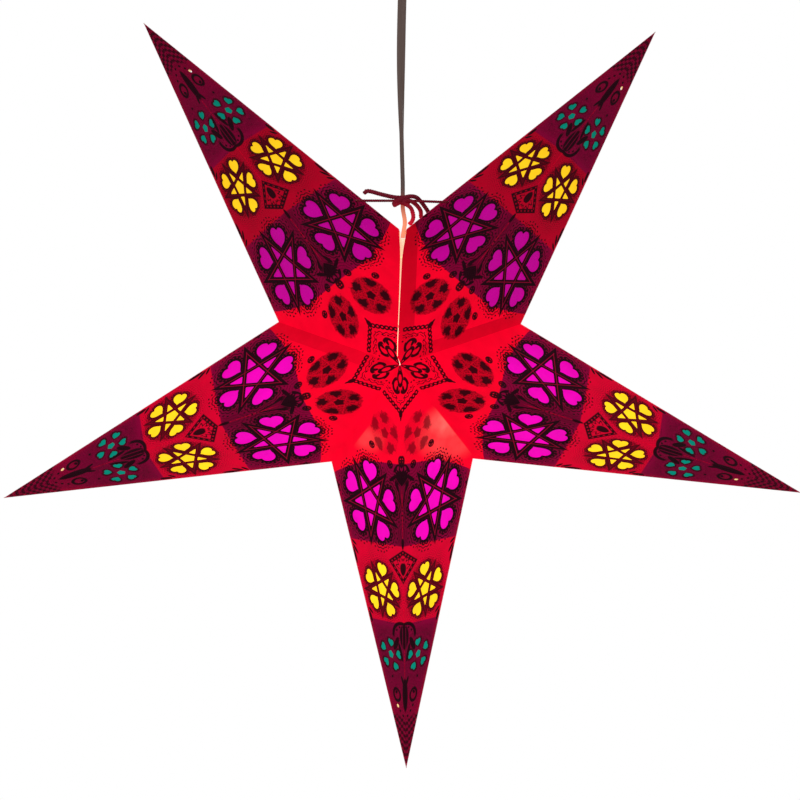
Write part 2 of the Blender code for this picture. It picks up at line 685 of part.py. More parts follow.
def main():
    clear_scene()
    card = material("printed_card", (0.62, 0.0, 0.03), 0.75)
    tissue = material("tissue_paper", (0.9, 0.02, 0.55), 0.8)
    twine = material("maroon_string", (0.15, 0.005, 0.02), 0.8)
    sheath = material("brown_flex", (0.07, 0.045, 0.035), 0.5)
    ivory = material("ivory_plastic", (0.85, 0.8, 0.66), 0.4)
    ceramic = material("white_ceramic", (0.85, 0.84, 0.8), 0.3)
    brass = material("nickel_brass", (0.7, 0.66, 0.55), 0.3, 1.0)
    glass = material("frosted_glass", (0.95, 0.93, 0.88), 0.25)

    rose = empty("rose", Matrix())
    flex_top = make_rose(rose, ivory, ceramic)
    centre = Matrix.Translation(STAR_CENTRE)
    hanging = empty("swinging_flex", centre)
    lamp = empty("turning_lamp", centre)
    star = empty("rocking_star", centre)
    bulb = empty("screwed_bulb", centre)
    flex("flex_upper", FLEX_CUT_HEIGHT, flex_top, FLEX_BOW, hanging, sheath)
    flex("flex_lower", GRIP_TOP + GAP, FLEX_CUT_HEIGHT - GAP, 0, lamp, sheath)
    make_lampholder(lamp, ivory, ceramic)
    make_bulb(bulb, glass, brass)
    make_star(star, card, tissue)
    tie_side("tie_right", 0, 0, star, twine)
    tie_side("tie_left", ARMS - 1, 1, star, twine)
    tie_bow(star, twine)


main()
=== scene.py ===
"""Looks of the folding paper star lantern, laid out as a Blender add-on and run as a script.

Metres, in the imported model's frame: the origin is on the flat top of the ceiling rose,
+Z up, +Y away from the viewer."""

import math
from functools import reduce

import bmesh
import bpy
from bpy.props import FloatProperty, FloatVectorProperty, IntProperty, PointerProperty
from mathutils import Matrix, Vector


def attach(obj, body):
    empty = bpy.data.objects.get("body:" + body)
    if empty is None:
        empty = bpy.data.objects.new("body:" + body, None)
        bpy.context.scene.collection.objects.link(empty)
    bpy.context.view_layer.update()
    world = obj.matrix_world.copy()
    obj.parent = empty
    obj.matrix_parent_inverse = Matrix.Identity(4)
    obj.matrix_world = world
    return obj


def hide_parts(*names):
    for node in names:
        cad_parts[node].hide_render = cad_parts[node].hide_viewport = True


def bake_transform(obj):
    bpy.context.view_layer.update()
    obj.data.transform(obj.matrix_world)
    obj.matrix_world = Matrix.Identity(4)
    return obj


bl_info = {
    "name": "Folding Paper Star Lantern",
    "version": (1, 0, 0),
    "blender": (4, 5, 0),
    "location": "3D View > Sidebar > Paper Star",
    "description": "Builds the printed card, lit tissue, string tie, flex, lampholder and ceiling rose of a paper star",
    "category": "Add Mesh",
}

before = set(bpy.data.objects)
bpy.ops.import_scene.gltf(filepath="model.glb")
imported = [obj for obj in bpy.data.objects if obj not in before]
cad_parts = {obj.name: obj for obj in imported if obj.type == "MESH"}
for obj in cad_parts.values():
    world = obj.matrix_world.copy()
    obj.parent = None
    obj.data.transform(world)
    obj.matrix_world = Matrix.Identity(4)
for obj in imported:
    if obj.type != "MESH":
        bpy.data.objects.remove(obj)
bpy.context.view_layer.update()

MM = 0.001
TINY = 0.001 * MM

# Star: the folded shape of the card
TIP_RADIUS = 318 * MM
NOTCH_RADIUS = 98 * MM
HALF_DEPTH = 95 * MM
STAR_CENTRE = Vector((0, 0, -330 * MM))
SEAM_ANGLE = math.radians(3.0)
ARM_NAMES = ("upper_right", "right", "lower", "left", "upper_left")
HALF_NAMES = ("ccw", "cw")
FRONT, BACK = -1, 1
SIDE_NAMES = {FRONT: "front", BACK: "back"}
ARMS = len(ARM_NAMES)
ARM_WEDGE = (math.tau - SEAM_ANGLE) / ARMS

# How far the hand-folded star of the photo is out of true, in millimetres to the right and up
CENTRE_SHIFT = (-1.2, 0)
TIP_SHIFTS = ((-2.0, -6.9), (2, -0.8), (2.7, 3.0), (-3.6, -5.4), (-3.3, 0.0))
NOTCH_SHIFTS = ((0, 0), (-4.0, -2.5), (-3.7, 3.3), (2.9, 0.9), (-0.6, -1.0), (0, 0))

# Creases: how far each panel stops short of the fold lines
RIDGE_INSET = 0.04 * MM
VALLEY_INSET = -0.03 * MM
EDGE_INSET = 0.06 * MM
LIP_INSET = {FRONT: 0.25 * MM, BACK: 0.8 * MM}

# Glue flaps along the valleys
FLAP_WIDTH = 11 * MM
FLAP_END = 14 * MM
FLAP_SLANT = 5 * MM
FLAP_GAP = 0.02 * MM

# Lips of the open seam: shares of the valley from the centre, and millimetres past the lip's line
SEAM_LIPS = {
    (FRONT, 0): ((0.06, 2.5), (0.15, 2.85), (0.25, 2.95), (0.5, 2.9), (0.78, 2.7), (0.87, 1.7), (0.93, 0.7)),
    (FRONT, 1): ((0.06, -1.9), (0.15, -1.75), (0.25, -1.25), (0.5, -0.1), (0.78, 0.9), (0.87, 0.7), (0.93, 0.3)),
    (BACK, 0): ((0.33, 0), (0.42, 9), (0.66, 9), (0.875, 7), (0.89, 1.25), (0.98, 1.45)),
    (BACK, 1): ((0.86, 0), (0.885, 1.25), (0.98, 1.45)),
}

# Rosettes, in shares of their reach, and the cuts of a sheet
CUTS = ("Large", "Small", "Bud", "Tip Hole", "Tie Hole")
ROSETTE_PLACE_SHARES = (0.638, 0.43)
BUD_PLACE_SHARE = 0.276
ROSETTE_FILL_SHARE = 0.80
POINTS = 5
PENTAGON_SHARE = 0.27
LATTICE_SHARE = 0.11
STAR_RIM_SHARE = 0.034
WINDOW_FILLET_SHARE = 0.025
HEART_MIDDLE_SHARE = 0.715
HEART_HEIGHT_SHARE = 0.222
HEART_HALF_WIDTH_SHARE = 0.272
HEART_CLEFT = 0.52
HEART_POINTS = 28
BUD_HEART_MIDDLE_SHARE = 0.67
BUD_HEART_SCALE = 0.92
BUD_PENTAGON_SHARE = 0.25
TIP_HOLE_PLACE_SHARE = 0.152
TIP_HOLE_RADIUS = 1.5 * MM
TIE_HOLE_RADIUS = 1.2 * MM
TIE_HOLE_MARGIN = 5.2 * MM
APEX_TRIM = 0.7 * MM
HOLE_SIDES = 24
PRINT_SOFT = 0.006

# Tissue behind the windows
TISSUE = 0.15 * MM
TISSUE_GAP = 0.3 * MM
TISSUE_RIDGE_MARGIN = 3.5 * MM
TISSUE_EDGE_MARGIN = 3.0 * MM
TISSUE_GLUE_MARGIN = 1.5 * MM
TISSUE_END_SHARE = 0.2
TISSUE_HOLE_ROOM = 0.4 * MM
YELLOW_START = 166 * MM
TEAL_START = 216 * MM

# String tie
STRING_RADIUS = 1.0 * MM
BOW_RADIUS = 1.75 * MM
TIE_HEIGHT = 119.5 * MM
TIE_HOLE_HEIGHT = 122 * MM
TIE_CLEARANCE = 1.2 * MM
TIE_START = 5.5 * MM
TIE_SPREAD = 2.2 * MM
TIE_EDGE_SHARE = 0.4
TIE_BEND_SHARE = 0.15
TIE_PASS_SHARE = 0.8
KNOT_HALF_WIDTH = 3.5 * MM
KNOT_HALF_DEPTH = 5.1 * MM
KNOT_DROP = 4.4 * MM
KNOT_START_ANGLE = math.radians(-10)
KNOT_END_ANGLE = math.radians(400)
KNOT_STEPS = 40
STRING_STEP = 1.6 * MM
LAY_STEP = 0.6 * MM
STRAND_SHARE = 0.48
STRAND_SIDES = 8

# Light: how far the bulb's light reaches on the papers and inside the lampholder, and how far the mouth's reaches on
# each material; on the card that reach sets a painted shade by the lampholder
LAMP_REACH = 300 * MM
INNER_LAMP_REACH = 75 * MM
CARD_MOUTH_REACH = 55 * MM
FLEX_MOUTH_REACH = 34 * MM
STRING_MOUTH_REACH = 27 * MM
FLAP_SHADE_SHIFT = 8 * MM

# Flat twin flex, as heights above the centre of the star
FLEX_WIDTH = 6.6 * MM
FLEX_THICKNESS = 3.3 * MM
FLEX_WAIST_SHARE = 0.72
FLEX_BOTTOM = 91.3 * MM
FLEX_CUT = 133 * MM
FLEX_TOP = 289.1 * MM
FLEX_STEP = 2.5 * MM
FLEX_TURN_TOP = 245 * MM
FLEX_TURN_BOTTOM = 170 * MM
FLEX_BOW = -1.4 * MM
MOUTH_BEND = 1.6 * MM
MOUTH_BEND_TOP = 115 * MM

# Lampholder, bulb and ceiling rose
TURN_STEPS = 72
EASE_SHARE = 0.45
EASE_STEPS = (0, 0.33, 0.67, 1)
GAP = 0.3 * MM
BULB_SPHERE_RADIUS = 22.5 * MM
BULB_BOTTOM = -36 * MM
BULB_MIDDLE = BULB_BOTTOM + BULB_SPHERE_RADIUS
BULB_GLASS = 0.8 * MM
GLOBE_START_ANGLE = math.radians(38)
GLOBE_STEPS = 48
NECK_STEPS = 9
THREAD_PITCH = 2.8 * MM
THREAD_HALF_DEPTH = 0.22 * MM
ROSE_RADIUS = 40 * MM
ROSE_WALL = 1.8 * MM
ROSE_DEPTH = 34 * MM
ROSE_FLAT = 14 * MM
ROSE_SIDE = 12 * MM
ROSE_RIM_DROP = 0.5 * MM
ROSE_HOLE = 5.3 * MM
ROSE_STEPS = 24

# Stage: what the camera looks at, the view's width there, the floor, and the lamps' places, sizes and shares of power
VIEW_CENTRE = Vector((-2.1 * MM, 0, -361.6 * MM))
VIEW_WIDTH = 608.5 * MM
FLOOR_DROP = 1.1
FLOOR_RADIUS = 6
FLOOR_FADE = (0.1, 0.42)
LAMPS = (
    ("Key", (-1.6, -2.4, 0.9), 2.2, 1.0), ("Fill", (2.2, -1.6, 0.2), 1.8, 0.4), ("Back", (0.8, 2.6, 0.8), 2.0, 0.6),
)


def colour(name, description, default):
    return FloatVectorProperty(
        name=name, description=description, default=default, size=3, min=0, max=1, subtype="COLOR"
    )


def share(name, description, default, highest=1.0):
    return FloatProperty(name=name, description=description, default=default, min=0, max=highest, subtype="FACTOR")


def size(name, description, default):
    return FloatProperty(name=name, description=description, default=default, min=0, unit="LENGTH", precision=5)


def angle(name, description, default):
    return FloatProperty(name=name, description=description, default=default, unit="ROTATION")


class PaperStarCard(bpy.types.PropertyGroup):
    """Sizes and colours of the printed card."""

    thickness: size("Card Thickness", "Thickness of the card", 0.4 * MM)
    bright: colour("Bright Red", "Print round the centre of the star", (1.0, 0.0, 0.022))
    crimson: colour("Crimson", "Print of the band behind the small rosettes", (0.74, 0.0, 0.028))
    maroon: colour("Maroon", "Print of the band behind the large rosettes", (0.245, 0.0, 0.036))
    ink: colour("Ink", "Dark lines of the print", (0.011, 0.001, 0.004))
    inside: colour("Inside", "Bare inner face of the card", (0.86, 0.78, 0.62))
    print_share: share("Print Share", "How much of a print's colour shows without the lamp", 0.4)
    glow: share("Glow", "How much light comes through the print", 0.75, 2.0)


class PaperStarTissue(bpy.types.PropertyGroup):
    """Colours of the tissue behind the windows."""

    magenta: colour("Magenta", "Tissue of the large rosettes", (1.0, 0.0, 0.55))
    yellow: colour("Yellow", "Tissue of the small rosettes", (1.0, 0.60, 0.012))
    teal: colour("Teal", "Tissue of the buds near the tips", (0.0, 0.225, 0.165))
    glow: share("Glow", "How much light comes through the tissue", 0.8, 2.0)


class PaperStarCord(bpy.types.PropertyGroup):
    """Colours and make of the flex and the string."""

    sheath: colour("Flex", "Sheath of the flat flex", (0.098, 0.064, 0.054))
    string: colour("String", "String of the tie", (0.17, 0.008, 0.022))
    strands: IntProperty(name="Strands", description="Strands laid up in the string", default=3, min=2, max=6)
    lay: size("Lay", "Length of one turn of the strands", 5 * MM)


class PaperStarLamp(bpy.types.PropertyGroup):
    """Colours of the lampholder, the bulb and the ceiling rose."""

    ivory: colour("Ivory", "Moulded plastic", (0.80, 0.74, 0.60))
    ceramic: colour("Ceramic", "Glazed insert and terminal block", (0.84, 0.83, 0.79))
    brass: colour("Brass", "Plated cap of the bulb", (0.72, 0.66, 0.52))
    warm: colour("Warm Light", "Colour of the lit bulb", (1.0, 0.78, 0.42))
    power: FloatProperty(name="Bulb Power", description="Strength of the lit glass", default=1.2, min=0)


class PaperStarStage(bpy.types.PropertyGroup):
    """Floor, lights and camera."""

    floor: colour("Floor", "Pale floor", (0.86, 0.86, 0.87))
    ambient: share("Ambient", "Even light from all round", 0.55)
    key: FloatProperty(
        name="Key Light", description="Power of the large soft light", default=26.0, min=0, unit="POWER"
    )
    distance: size("Camera Distance", "From the camera to the star's middle plane", 1.9)
    bearing: angle("Camera Bearing", "How far the camera stands round to the right", math.radians(0.6))
    rise: angle("Camera Rise", "How far the camera looks down", math.radians(3.7))


class Term:
    """A socket that takes part in sums, so that a pattern is written as its formula."""

    def __init__(self, nodes, socket):
        self.nodes = nodes
        self.socket = socket

    def __add__(self, other):
        return self.nodes.math("ADD", self, other)

    def __sub__(self, other):
        return self.nodes.math("SUBTRACT", self, other)

    def __rsub__(self, other):
        return self.nodes.math("SUBTRACT", other, self)

    def __mul__(self, other):
        return self.nodes.math("MULTIPLY", self, other)

    def __truediv__(self, other):
        return self.nodes.math("DIVIDE", self, other)

    def __abs__(self):
        return self.nodes.math("ABSOLUTE", self)

    __radd__ = __add__
    __rmul__ = __mul__


class Nodes:
    """Adds nodes to one tree and joins them."""

    def __init__(self, tree):
        self.tree = tree

    def feed(self, socket, value):
        """A link from a term or a socket, or a plain value; a colour needs no alpha."""
        if isinstance(value, Term):
            value = value.socket
        if isinstance(value, bpy.types.NodeSocket):
            self.tree.links.new(value, socket)
        elif socket.type == "RGBA":
            socket.default_value = (*value, 1)[:4]
        else:
            socket.default_value = value

    def fill(self, node, inputs):
        for place, value in inputs.items():
            self.feed(node.inputs[place], value)

    def add(self, kind, inputs=None, **settings):
        node = self.tree.nodes.new(kind)
        for name, value in settings.items():
            setattr(node, name, value)
        self.fill(node, inputs or {})
        return node

    def get(self, kind, inputs=None, output=0, **settings):
        return Term(self, self.add(kind, inputs, **settings).outputs[output])

    def group(self, name, maker, inputs):
        """A node group placed in the tree: its outputs by name."""
        node = self.add("ShaderNodeGroup", inputs, node_tree=made_before(name, maker))
        return {socket.name: Term(self, socket) for socket in node.outputs}

    def finished(self, outputs):
        """The group's tree, with its outputs fed."""
        self.add("NodeGroupOutput", outputs)
        return self.tree

    def math(self, operation, *terms):
        return self.get("ShaderNodeMath", dict(enumerate(terms)), operation=operation)

    def sine(self, term):
        return self.math("SINE", term)

    def root(self, term):
        return self.math("SQRT", term)

    def zigzag(self, term, height):
        """Up from 0 to the height and down again, over and over."""
        return self.math("PINGPONG", term, height)

    def least(self, *terms):
        return reduce(lambda first, second: self.math("MINIMUM", first, second), terms)

    def most(self, *terms):
        return reduce(lambda first, second: self.math("MAXIMUM", first, second), terms)

    def rise(self, term, low, high):
        """0 below low and 1 above high; the other way round where low is the greater."""
        ends = {0: term, 1: low, 2: high, 3: 0.0, 4: 1.0}
        return self.get("ShaderNodeMapRange", ends, interpolation_type="SMOOTHSTEP")

    def within(self, term, limit, soft):
        """1 where the term is below the limit."""
        return self.rise(term, limit + soft, limit - soft)

    def line(self, term, place, half, soft):
        """1 where the term is about as great as the place."""
        return self.within(abs(term - place), half, soft)

    def oval(self, x, y, middle, radii, lean=0):
        """Distance from the middle of an ellipse leant over by some degrees, 1 on its line."""
        east, north = math.cos(math.radians(lean)), math.sin(math.radians(lean))
        wide = ((x - middle[0]) * east + (y - middle[1]) * north) / radii[0]
        tall = ((y - middle[1]) * east - (x - middle[0]) * north) / radii[1]
        return self.root(wide * wide + tall * tall)

    def mix(self, factor, first, second, blend="MIX"):
        inputs = {0: factor, 6: first, 7: second}
        return self.get("ShaderNodeMix", inputs, output=2, data_type="RGBA", blend_type=blend)

    def tint(self, paint, factor):
        """The paint made darker by a number or a mask."""
        if isinstance(factor, float):
            factor = (factor, factor, factor, 1)
        return self.mix(1.0, paint, factor, "MULTIPLY")

    def noise(self, place, scale, detail):
        return self.get("ShaderNodeTexNoise", {"Vector": place, "Scale": scale, "Detail": detail})

    def bump(self, height, strength, distance):
        return self.get("ShaderNodeBump", {"Height": height, "Strength": strength, "Distance": distance})

    def vector(self, operation, *terms, output=0):
        return self.get("ShaderNodeVectorMath", dict(enumerate(terms)), output=output, operation=operation)

    def length(self, vector):
        return self.vector("LENGTH", vector, output=1)

    def split(self, vector):
        node = self.add("ShaderNodeSeparateXYZ", {0: vector})
        return [Term(self, socket) for socket in node.outputs]

    def join(self, x, y, z):
        return self.get("ShaderNodeCombineXYZ", {0: x, 1: y, 2: z})

    def object_place(self):
        return self.get("ShaderNodeTexCoord", output="Object")

    def sheet_place(self):
        return self.get("ShaderNodeAttribute", output="Vector", attribute_name="sheet", attribute_type="GEOMETRY")

    def geometry(self, kind, inputs=None, **settings):
        return self.get(f"GeometryNode{kind}", inputs, **settings)

    def polygon(self, sides, radius=1.0):
        return self.geometry("CurvePrimitiveCircle", {"Resolution": sides, "Radius": radius})

    def placement(self):
        return self.split(self.geometry("InputPosition"))

    def joined(self, *parts):
        node = self.add("GeometryNodeJoinGeometry")
        for part in parts:
            self.feed(node.inputs[0], part)
        return Term(self, node.outputs[0])


def node_group(name, kind, inputs, outputs):
    """A new group with named sockets: its node writer, and its inputs by name."""
    tree = bpy.data.node_groups.new(name, kind)
    for label, (socket_type, default) in inputs.items():
        socket = tree.interface.new_socket(name=label, in_out="INPUT", socket_type=f"NodeSocket{socket_type}")
        if default is not None:
            socket.default_value = default
    for label, socket_type in outputs.items():
        tree.interface.new_socket(name=label, in_out="OUTPUT", socket_type=f"NodeSocket{socket_type}")
    nodes = Nodes(tree)
    start = nodes.add("NodeGroupInput")
    return nodes, {label: Term(nodes, start.outputs[label]) for label in inputs}


def made_before(name, maker):
    """The node group of this name, made once."""
    return bpy.data.node_groups.get(name) or maker()


def finish(maker):
    """The material that a maker fills, made once and named after it."""
    name = maker.__name__.replace("_", " ").title()
    made = bpy.data.materials.get(name)
    if not made:
        made = bpy.data.materials.new(name)
        made.use_nodes = True
        nodes = Nodes(made.node_tree)
        nodes.fill(made.node_tree.nodes["Principled BSDF"], maker(nodes))
    return made


def polar(radius, angle):
    """A point of the middle plane, at an angle clockwise from straight up as the viewer sees it."""
    return Vector((radius * math.sin(angle), 0, radius * math.cos(angle)))


def arm_angle(arm):
    return SEAM_ANGLE / 2 + ARM_WEDGE * (arm + 0.5)


def notch_angle(notch):
    return SEAM_ANGLE / 2 + ARM_WEDGE * notch


class Panel:
    """One flat triangle of an arm, between the centre, the arm's tip and a notch.

    Its own frame starts at the centre, with X along the ridge crease and Z facing out."""

    def __init__(self, side, arm, half):
        self.side = side
        self.arm = arm
        self.half = half
        self.name = f"{ARM_NAMES[arm]}_arm_{SIDE_NAMES[side]}_{HALF_NAMES[half]}"
        centre = Vector((0, side * HALF_DEPTH, 0))
        tip = polar(TIP_RADIUS, arm_angle(arm))
        notch = polar(NOTCH_RADIUS, notch_angle(arm + half))
        along = (tip - centre).normalized()
        outward = along.cross(notch - centre).normalized()
        if outward.y * side < 0:
            outward.negate()
        across = outward.cross(along)
        self.ridge_length = (tip - centre).length
        self.tip = Vector((self.ridge_length, 0))
        self.notch = Vector(((notch - centre).dot(along), (notch - centre).dot(across)))
        self.hand = math.copysign(1, self.notch.y)
        edge = self.notch - self.tip
        self.half_tip_angle = math.atan2(abs(edge.y), -edge.x) / 2
        self.at_seam = (arm, half) in ((0, 0), (ARMS - 1, 1))
        glued = half == 1 and arm < ARMS - 1
        self.has_flap = glued or (self.at_seam and half == 0 and side == FRONT)
        shifts = (CENTRE_SHIFT, TIP_SHIFTS[arm], NOTCH_SHIFTS[arm + half])
        moved = zip((centre, tip, notch), shifts)
        self.frame = self.folded([corner + Vector((right, 0, up)) * MM for corner, (right, up) in moved])

    def folded(self, corners):
        """The matrix that lays the flat panel on its three corners in the star."""
        centre, tip, notch = corners
        along = (tip - centre) / self.ridge_length
        across = (notch - centre - along * self.notch.x) / self.notch.y
        laid = Matrix((along, across, along.cross(across).normalized())).transposed().to_4x4()
        return Matrix.Translation(STAR_CENTRE + centre) @ laid

    def on_bisector(self, back_share):
        """The point midway between ridge and outer edge, and its distance from them."""
        back = back_share * self.ridge_length
        reach = back * math.tan(self.half_tip_angle)
        return Vector((self.ridge_length - back, self.hand * reach)), reach

    def on_valley(self, along_share, inward):
        """A point at a share of the valley crease from the centre, and a distance into the panel."""
        crease = self.notch.normalized()
        into = Vector((crease.y, -crease.x)) * self.hand
        return self.notch * along_share + into * inward

    def outline(self, ridge, valley, edge):
        return inset_corners((Vector((0, 0)), self.notch, self.tip), (valley, edge, ridge))

    def tie_hole(self):
        """Where the string passes through a seam panel, at the height of the tie."""
        notch = polar(NOTCH_RADIUS, notch_angle(self.arm + self.half))
        tip = polar(TIP_RADIUS, arm_angle(self.arm))
        along_edge = self.notch.lerp(self.tip, (TIE_HOLE_HEIGHT - notch.z) / (tip.z - notch.z))
        run = (self.tip - self.notch).normalized()
        into = Vector((run.y, -run.x))
        if into.dot(self.notch) > 0:
            into.negate()
        return along_edge + into * TIE_HOLE_MARGIN


def all_panels():
    return [Panel(side, arm, half) for side in (FRONT, BACK) for arm in range(ARMS) for half in (0, 1)]


def inset_corners(corners, insets):
    """The corners of a convex outline with each side, from its corner to the next, moved inwards."""
    middle = sum(corners, Vector((0, 0))) / len(corners)
    lines = []
    for place, corner in enumerate(corners):
        run = (corners[(place + 1) % len(corners)] - corner).normalized()
        inwards = Vector((-run.y, run.x))
        if inwards.dot(middle - corner) < 0:
            inwards.negate()
        lines.append((corner + inwards * insets[place], run, inwards))
    moved = []
    for place, (start, _, inwards) in enumerate(lines):
        before, run, _ = lines[place - 1]
        moved.append(before + run * ((start - before).dot(inwards) / run.dot(inwards)))
    return moved


def lattice():
    """The pentagon's corner on the middle line of the strips, and the star's point, in shares."""
    crossing = PENTAGON_SHARE + LATTICE_SHARE / 2 / math.cos(math.pi / POINTS)
    return crossing, crossing * math.cos(math.pi / POINTS) / math.cos(math.tau / POINTS)


def heart_curve(nodes, middle, scale):
    """A closed heart on +X, its point towards the origin."""
    wide, tall, _ = nodes.placement()
    along = (tall + nodes.root(abs(wide)) * HEART_CLEFT) * (HEART_HEIGHT_SHARE * scale) + middle
    place = nodes.join(along, wide * (HEART_HALF_WIDTH_SHARE * scale), 0.0)
    return nodes.geometry("SetPosition", {"Geometry": nodes.polygon(HEART_POINTS), "Position": place})


def cut_sheet_tree():
    """Geometry nodes that cut rosettes of windows and round holes out of an outline, and give it a thickness."""
    nodes, given = node_group("Cut Sheet", "GeometryNodeTree", {
        "Outline": ("Geometry", None),
        "Thickness": ("Float", 0.4 * MM),
        "Top": ("Float", 0.0),
        "Hand": ("Float", 1.0),
        "Flap": ("Float", 0.0),
        **{f"{label} Place": ("Vector", (0, 0, 0)) for label in CUTS},
        **{f"{label} Reach": ("Float", 0.0) for label in CUTS},
        "Outer Finish": ("Material", None),
        "Inner Finish": ("Material", None),
    }, {"Sheet": "Geometry"})
    crossing, star_tip = lattice()
    step = math.tau / POINTS
    base, half_base = crossing * math.cos(step / 2), crossing * math.sin(step / 2)
    window = (Vector((star_tip, 0)), Vector((base, half_base)), Vector((base, -half_base)))
    tip, side, _ = inset_corners(window, [LATTICE_SHARE / 2] * 3)
    half_turn = nodes.get("FunctionNodeEulerToRotation", {0: (0, 0, math.pi)})
    x, y, _ = nodes.placement()

    def fillet(curve):
        inputs = {"Curve": curve, "Count": 3, "Radius": WINDOW_FILLET_SHARE}
        return nodes.geometry("FilletCurve", inputs, mode="POLY")

    def fan(motif, phase=0.0):
        """Copies of a motif turned about the origin."""
        points = nodes.geometry("Points", {"Count": POINTS})
        angle = nodes.geometry("InputIndex") * step + (math.pi + phase)
        spin = nodes.get("FunctionNodeEulerToRotation", {0: nodes.join(0.0, 0.0, angle)})
        return nodes.geometry("InstanceOnPoints", {"Points": points, "Instance": motif, "Rotation": spin})

    def pentagon(radius):
        shape = {"Geometry": nodes.polygon(POINTS, radius), "Rotation": half_turn}
        return fillet(nodes.geometry("Transform", shape))

    def placed(motif, label):
        """The motif at its place, or nothing where its reach is zero."""
        reach = given[f"{label} Reach"]
        put = nodes.geometry("Transform", {
            "Geometry": motif, "Translation": given[f"{label} Place"], "Scale": nodes.join(reach, reach, 1.0),
        })
        wanted = nodes.math("GREATER_THAN", reach, 0.0)
        return nodes.geometry("Switch", {"Switch": wanted, "True": put}, input_type="GEOMETRY")

    along = (x + 0.5) * ((tip.x - side.x) / 1.5) + side.x
    corner = nodes.join(along, y * (abs(side.y) / math.sin(math.tau / 3)), 0.0)
    triangle = fillet(nodes.geometry("SetPosition", {"Geometry": nodes.polygon(3), "Position": corner}))
    hearts = fan(heart_curve(nodes, HEART_MIDDLE_SHARE, 1.0))
    full = nodes.joined(hearts, fan(triangle, step / 2), pentagon(PENTAGON_SHARE))
    hearts = fan(heart_curve(nodes, BUD_HEART_MIDDLE_SHARE, BUD_HEART_SCALE))
    bud = nodes.joined(hearts, pentagon(BUD_PENTAGON_SHARE))
    hole = nodes.polygon(HOLE_SIDES)
    cuts = [placed(motif, label) for motif, label in zip((full, full, bud, hole, hole), CUTS)]

    outline = nodes.geometry("MeshToCurve", {"Mesh": given["Outline"]})
    pattern = nodes.geometry("RealizeInstances", {"Geometry": nodes.joined(outline, *cuts)})
    face = nodes.geometry("FillCurve", {"Curve": pattern}, mode="TRIANGLES")
    top = nodes.geometry("Transform", {"Geometry": face, "Translation": nodes.join(0.0, 0.0, given["Top"])})
    under = nodes.geometry("ExtrudeMesh", {
        "Mesh": nodes.geometry("FlipFaces", {"Mesh": top}),
        "Offset": (0, 0, -1),
        "Offset Scale": given["Thickness"],
        "Individual": False,
    }, mode="FACES")
    whole = nodes.geometry("MergeByDistance", {"Geometry": nodes.joined(top, under), "Distance": TINY})
    whole = nodes.geometry("StoreNamedAttribute", {
        "Geometry": whole, "Name": "sheet", "Value": nodes.join(x, y * given["Hand"], given["Flap"]),
    }, data_type="FLOAT_VECTOR", domain="POINT")
    whole = nodes.geometry("RealizeInstances", {"Geometry": whole})
    whole = nodes.geometry("SetMaterial", {"Geometry": whole, "Material": given["Outer Finish"]})
    _, _, facing = nodes.split(nodes.geometry("InputNormal"))
    return nodes.finished({"Sheet": nodes.geometry("SetMaterial", {
        "Geometry": whole, "Selection": nodes.math("LESS_THAN", facing, -0.5), "Material": given["Inner Finish"],
    })})


def cut(label, place, reach):
    """One cut of a sheet: which, where and how far it reaches."""
    return {f"{label} Place": (*place, 0), f"{label} Reach": reach}


def cut_sheet(panel, outline, thickness, top, finishes, cuts, flap=0.0):
    """A plain mesh of a sheet, by the geometry nodes, in its panel's own frame."""
    pattern = bpy.data.meshes.new("outline")
    count = len(outline)
    pattern.from_pydata([(*place, 0) for place in outline], [(n, (n + 1) % count) for n in range(count)], [])
    return evaluated(pattern, made_before("Cut Sheet", cut_sheet_tree), {
        "Thickness": thickness,
        "Top": top,
        "Hand": panel.hand,
        "Flap": flap,
        "Outer Finish": finishes[0],
        "Inner Finish": finishes[1],
        **cuts,
    })


def evaluated(mesh, tree, values):
    """The plain mesh that a tree makes of a mesh, with its inputs set by their identifiers."""
    obj = bpy.data.objects.new("pattern", mesh)
    bpy.context.scene.collection.objects.link(obj)
    modifier = obj.modifiers.new("pattern", "NODES")
    modifier.node_group = tree
    for item in tree.interface.items_tree:
        if item.item_type == "SOCKET" and item.in_out == "INPUT" and item.name in values:
            modifier[item.identifier] = values[item.name]
    obj.update_tag()
    graph = bpy.context.evaluated_depsgraph_get()
    made = bpy.data.meshes.new_from_object(obj.evaluated_get(graph), depsgraph=graph)
    obj.modifiers.remove(modifier)
    bpy.data.objects.remove(obj)
    bpy.data.meshes.remove(mesh)
    return made


def one_mesh(name, parts, matrix):
    """Meshes joined as one, with outward faces, put in place."""
    bm = bmesh.new()
    finishes = []
    for part in parts:
        finishes += [material for material in part.materials if material not in finishes]
        places = [finishes.index(material) for material in part.materials]
        first = len(bm.faces)
        bm.from_mesh(part)
        bm.faces.ensure_lookup_table()
        for face in bm.faces[first:]:
            face.material_index = places[face.material_index]
    bmesh.ops.recalc_face_normals(bm, faces=bm.faces)
    bm.transform(matrix)
    mesh = parts[0].copy()
    mesh.name = name
    mesh.materials.clear()
    for material in finishes:
        mesh.materials.append(material)
    bm.to_mesh(mesh)
    bm.free()
    mesh.update()
    return mesh


def piece(mesh, body, nodes):
    """A finished piece of the scene under its mesh's name, riding on its body in place of its CAD nodes."""
    obj = bpy.data.objects.new(mesh.name, mesh)
    bpy.context.scene.collection.objects.link(obj)
    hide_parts(*nodes)
    if body:
        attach(obj, body)
    return obj


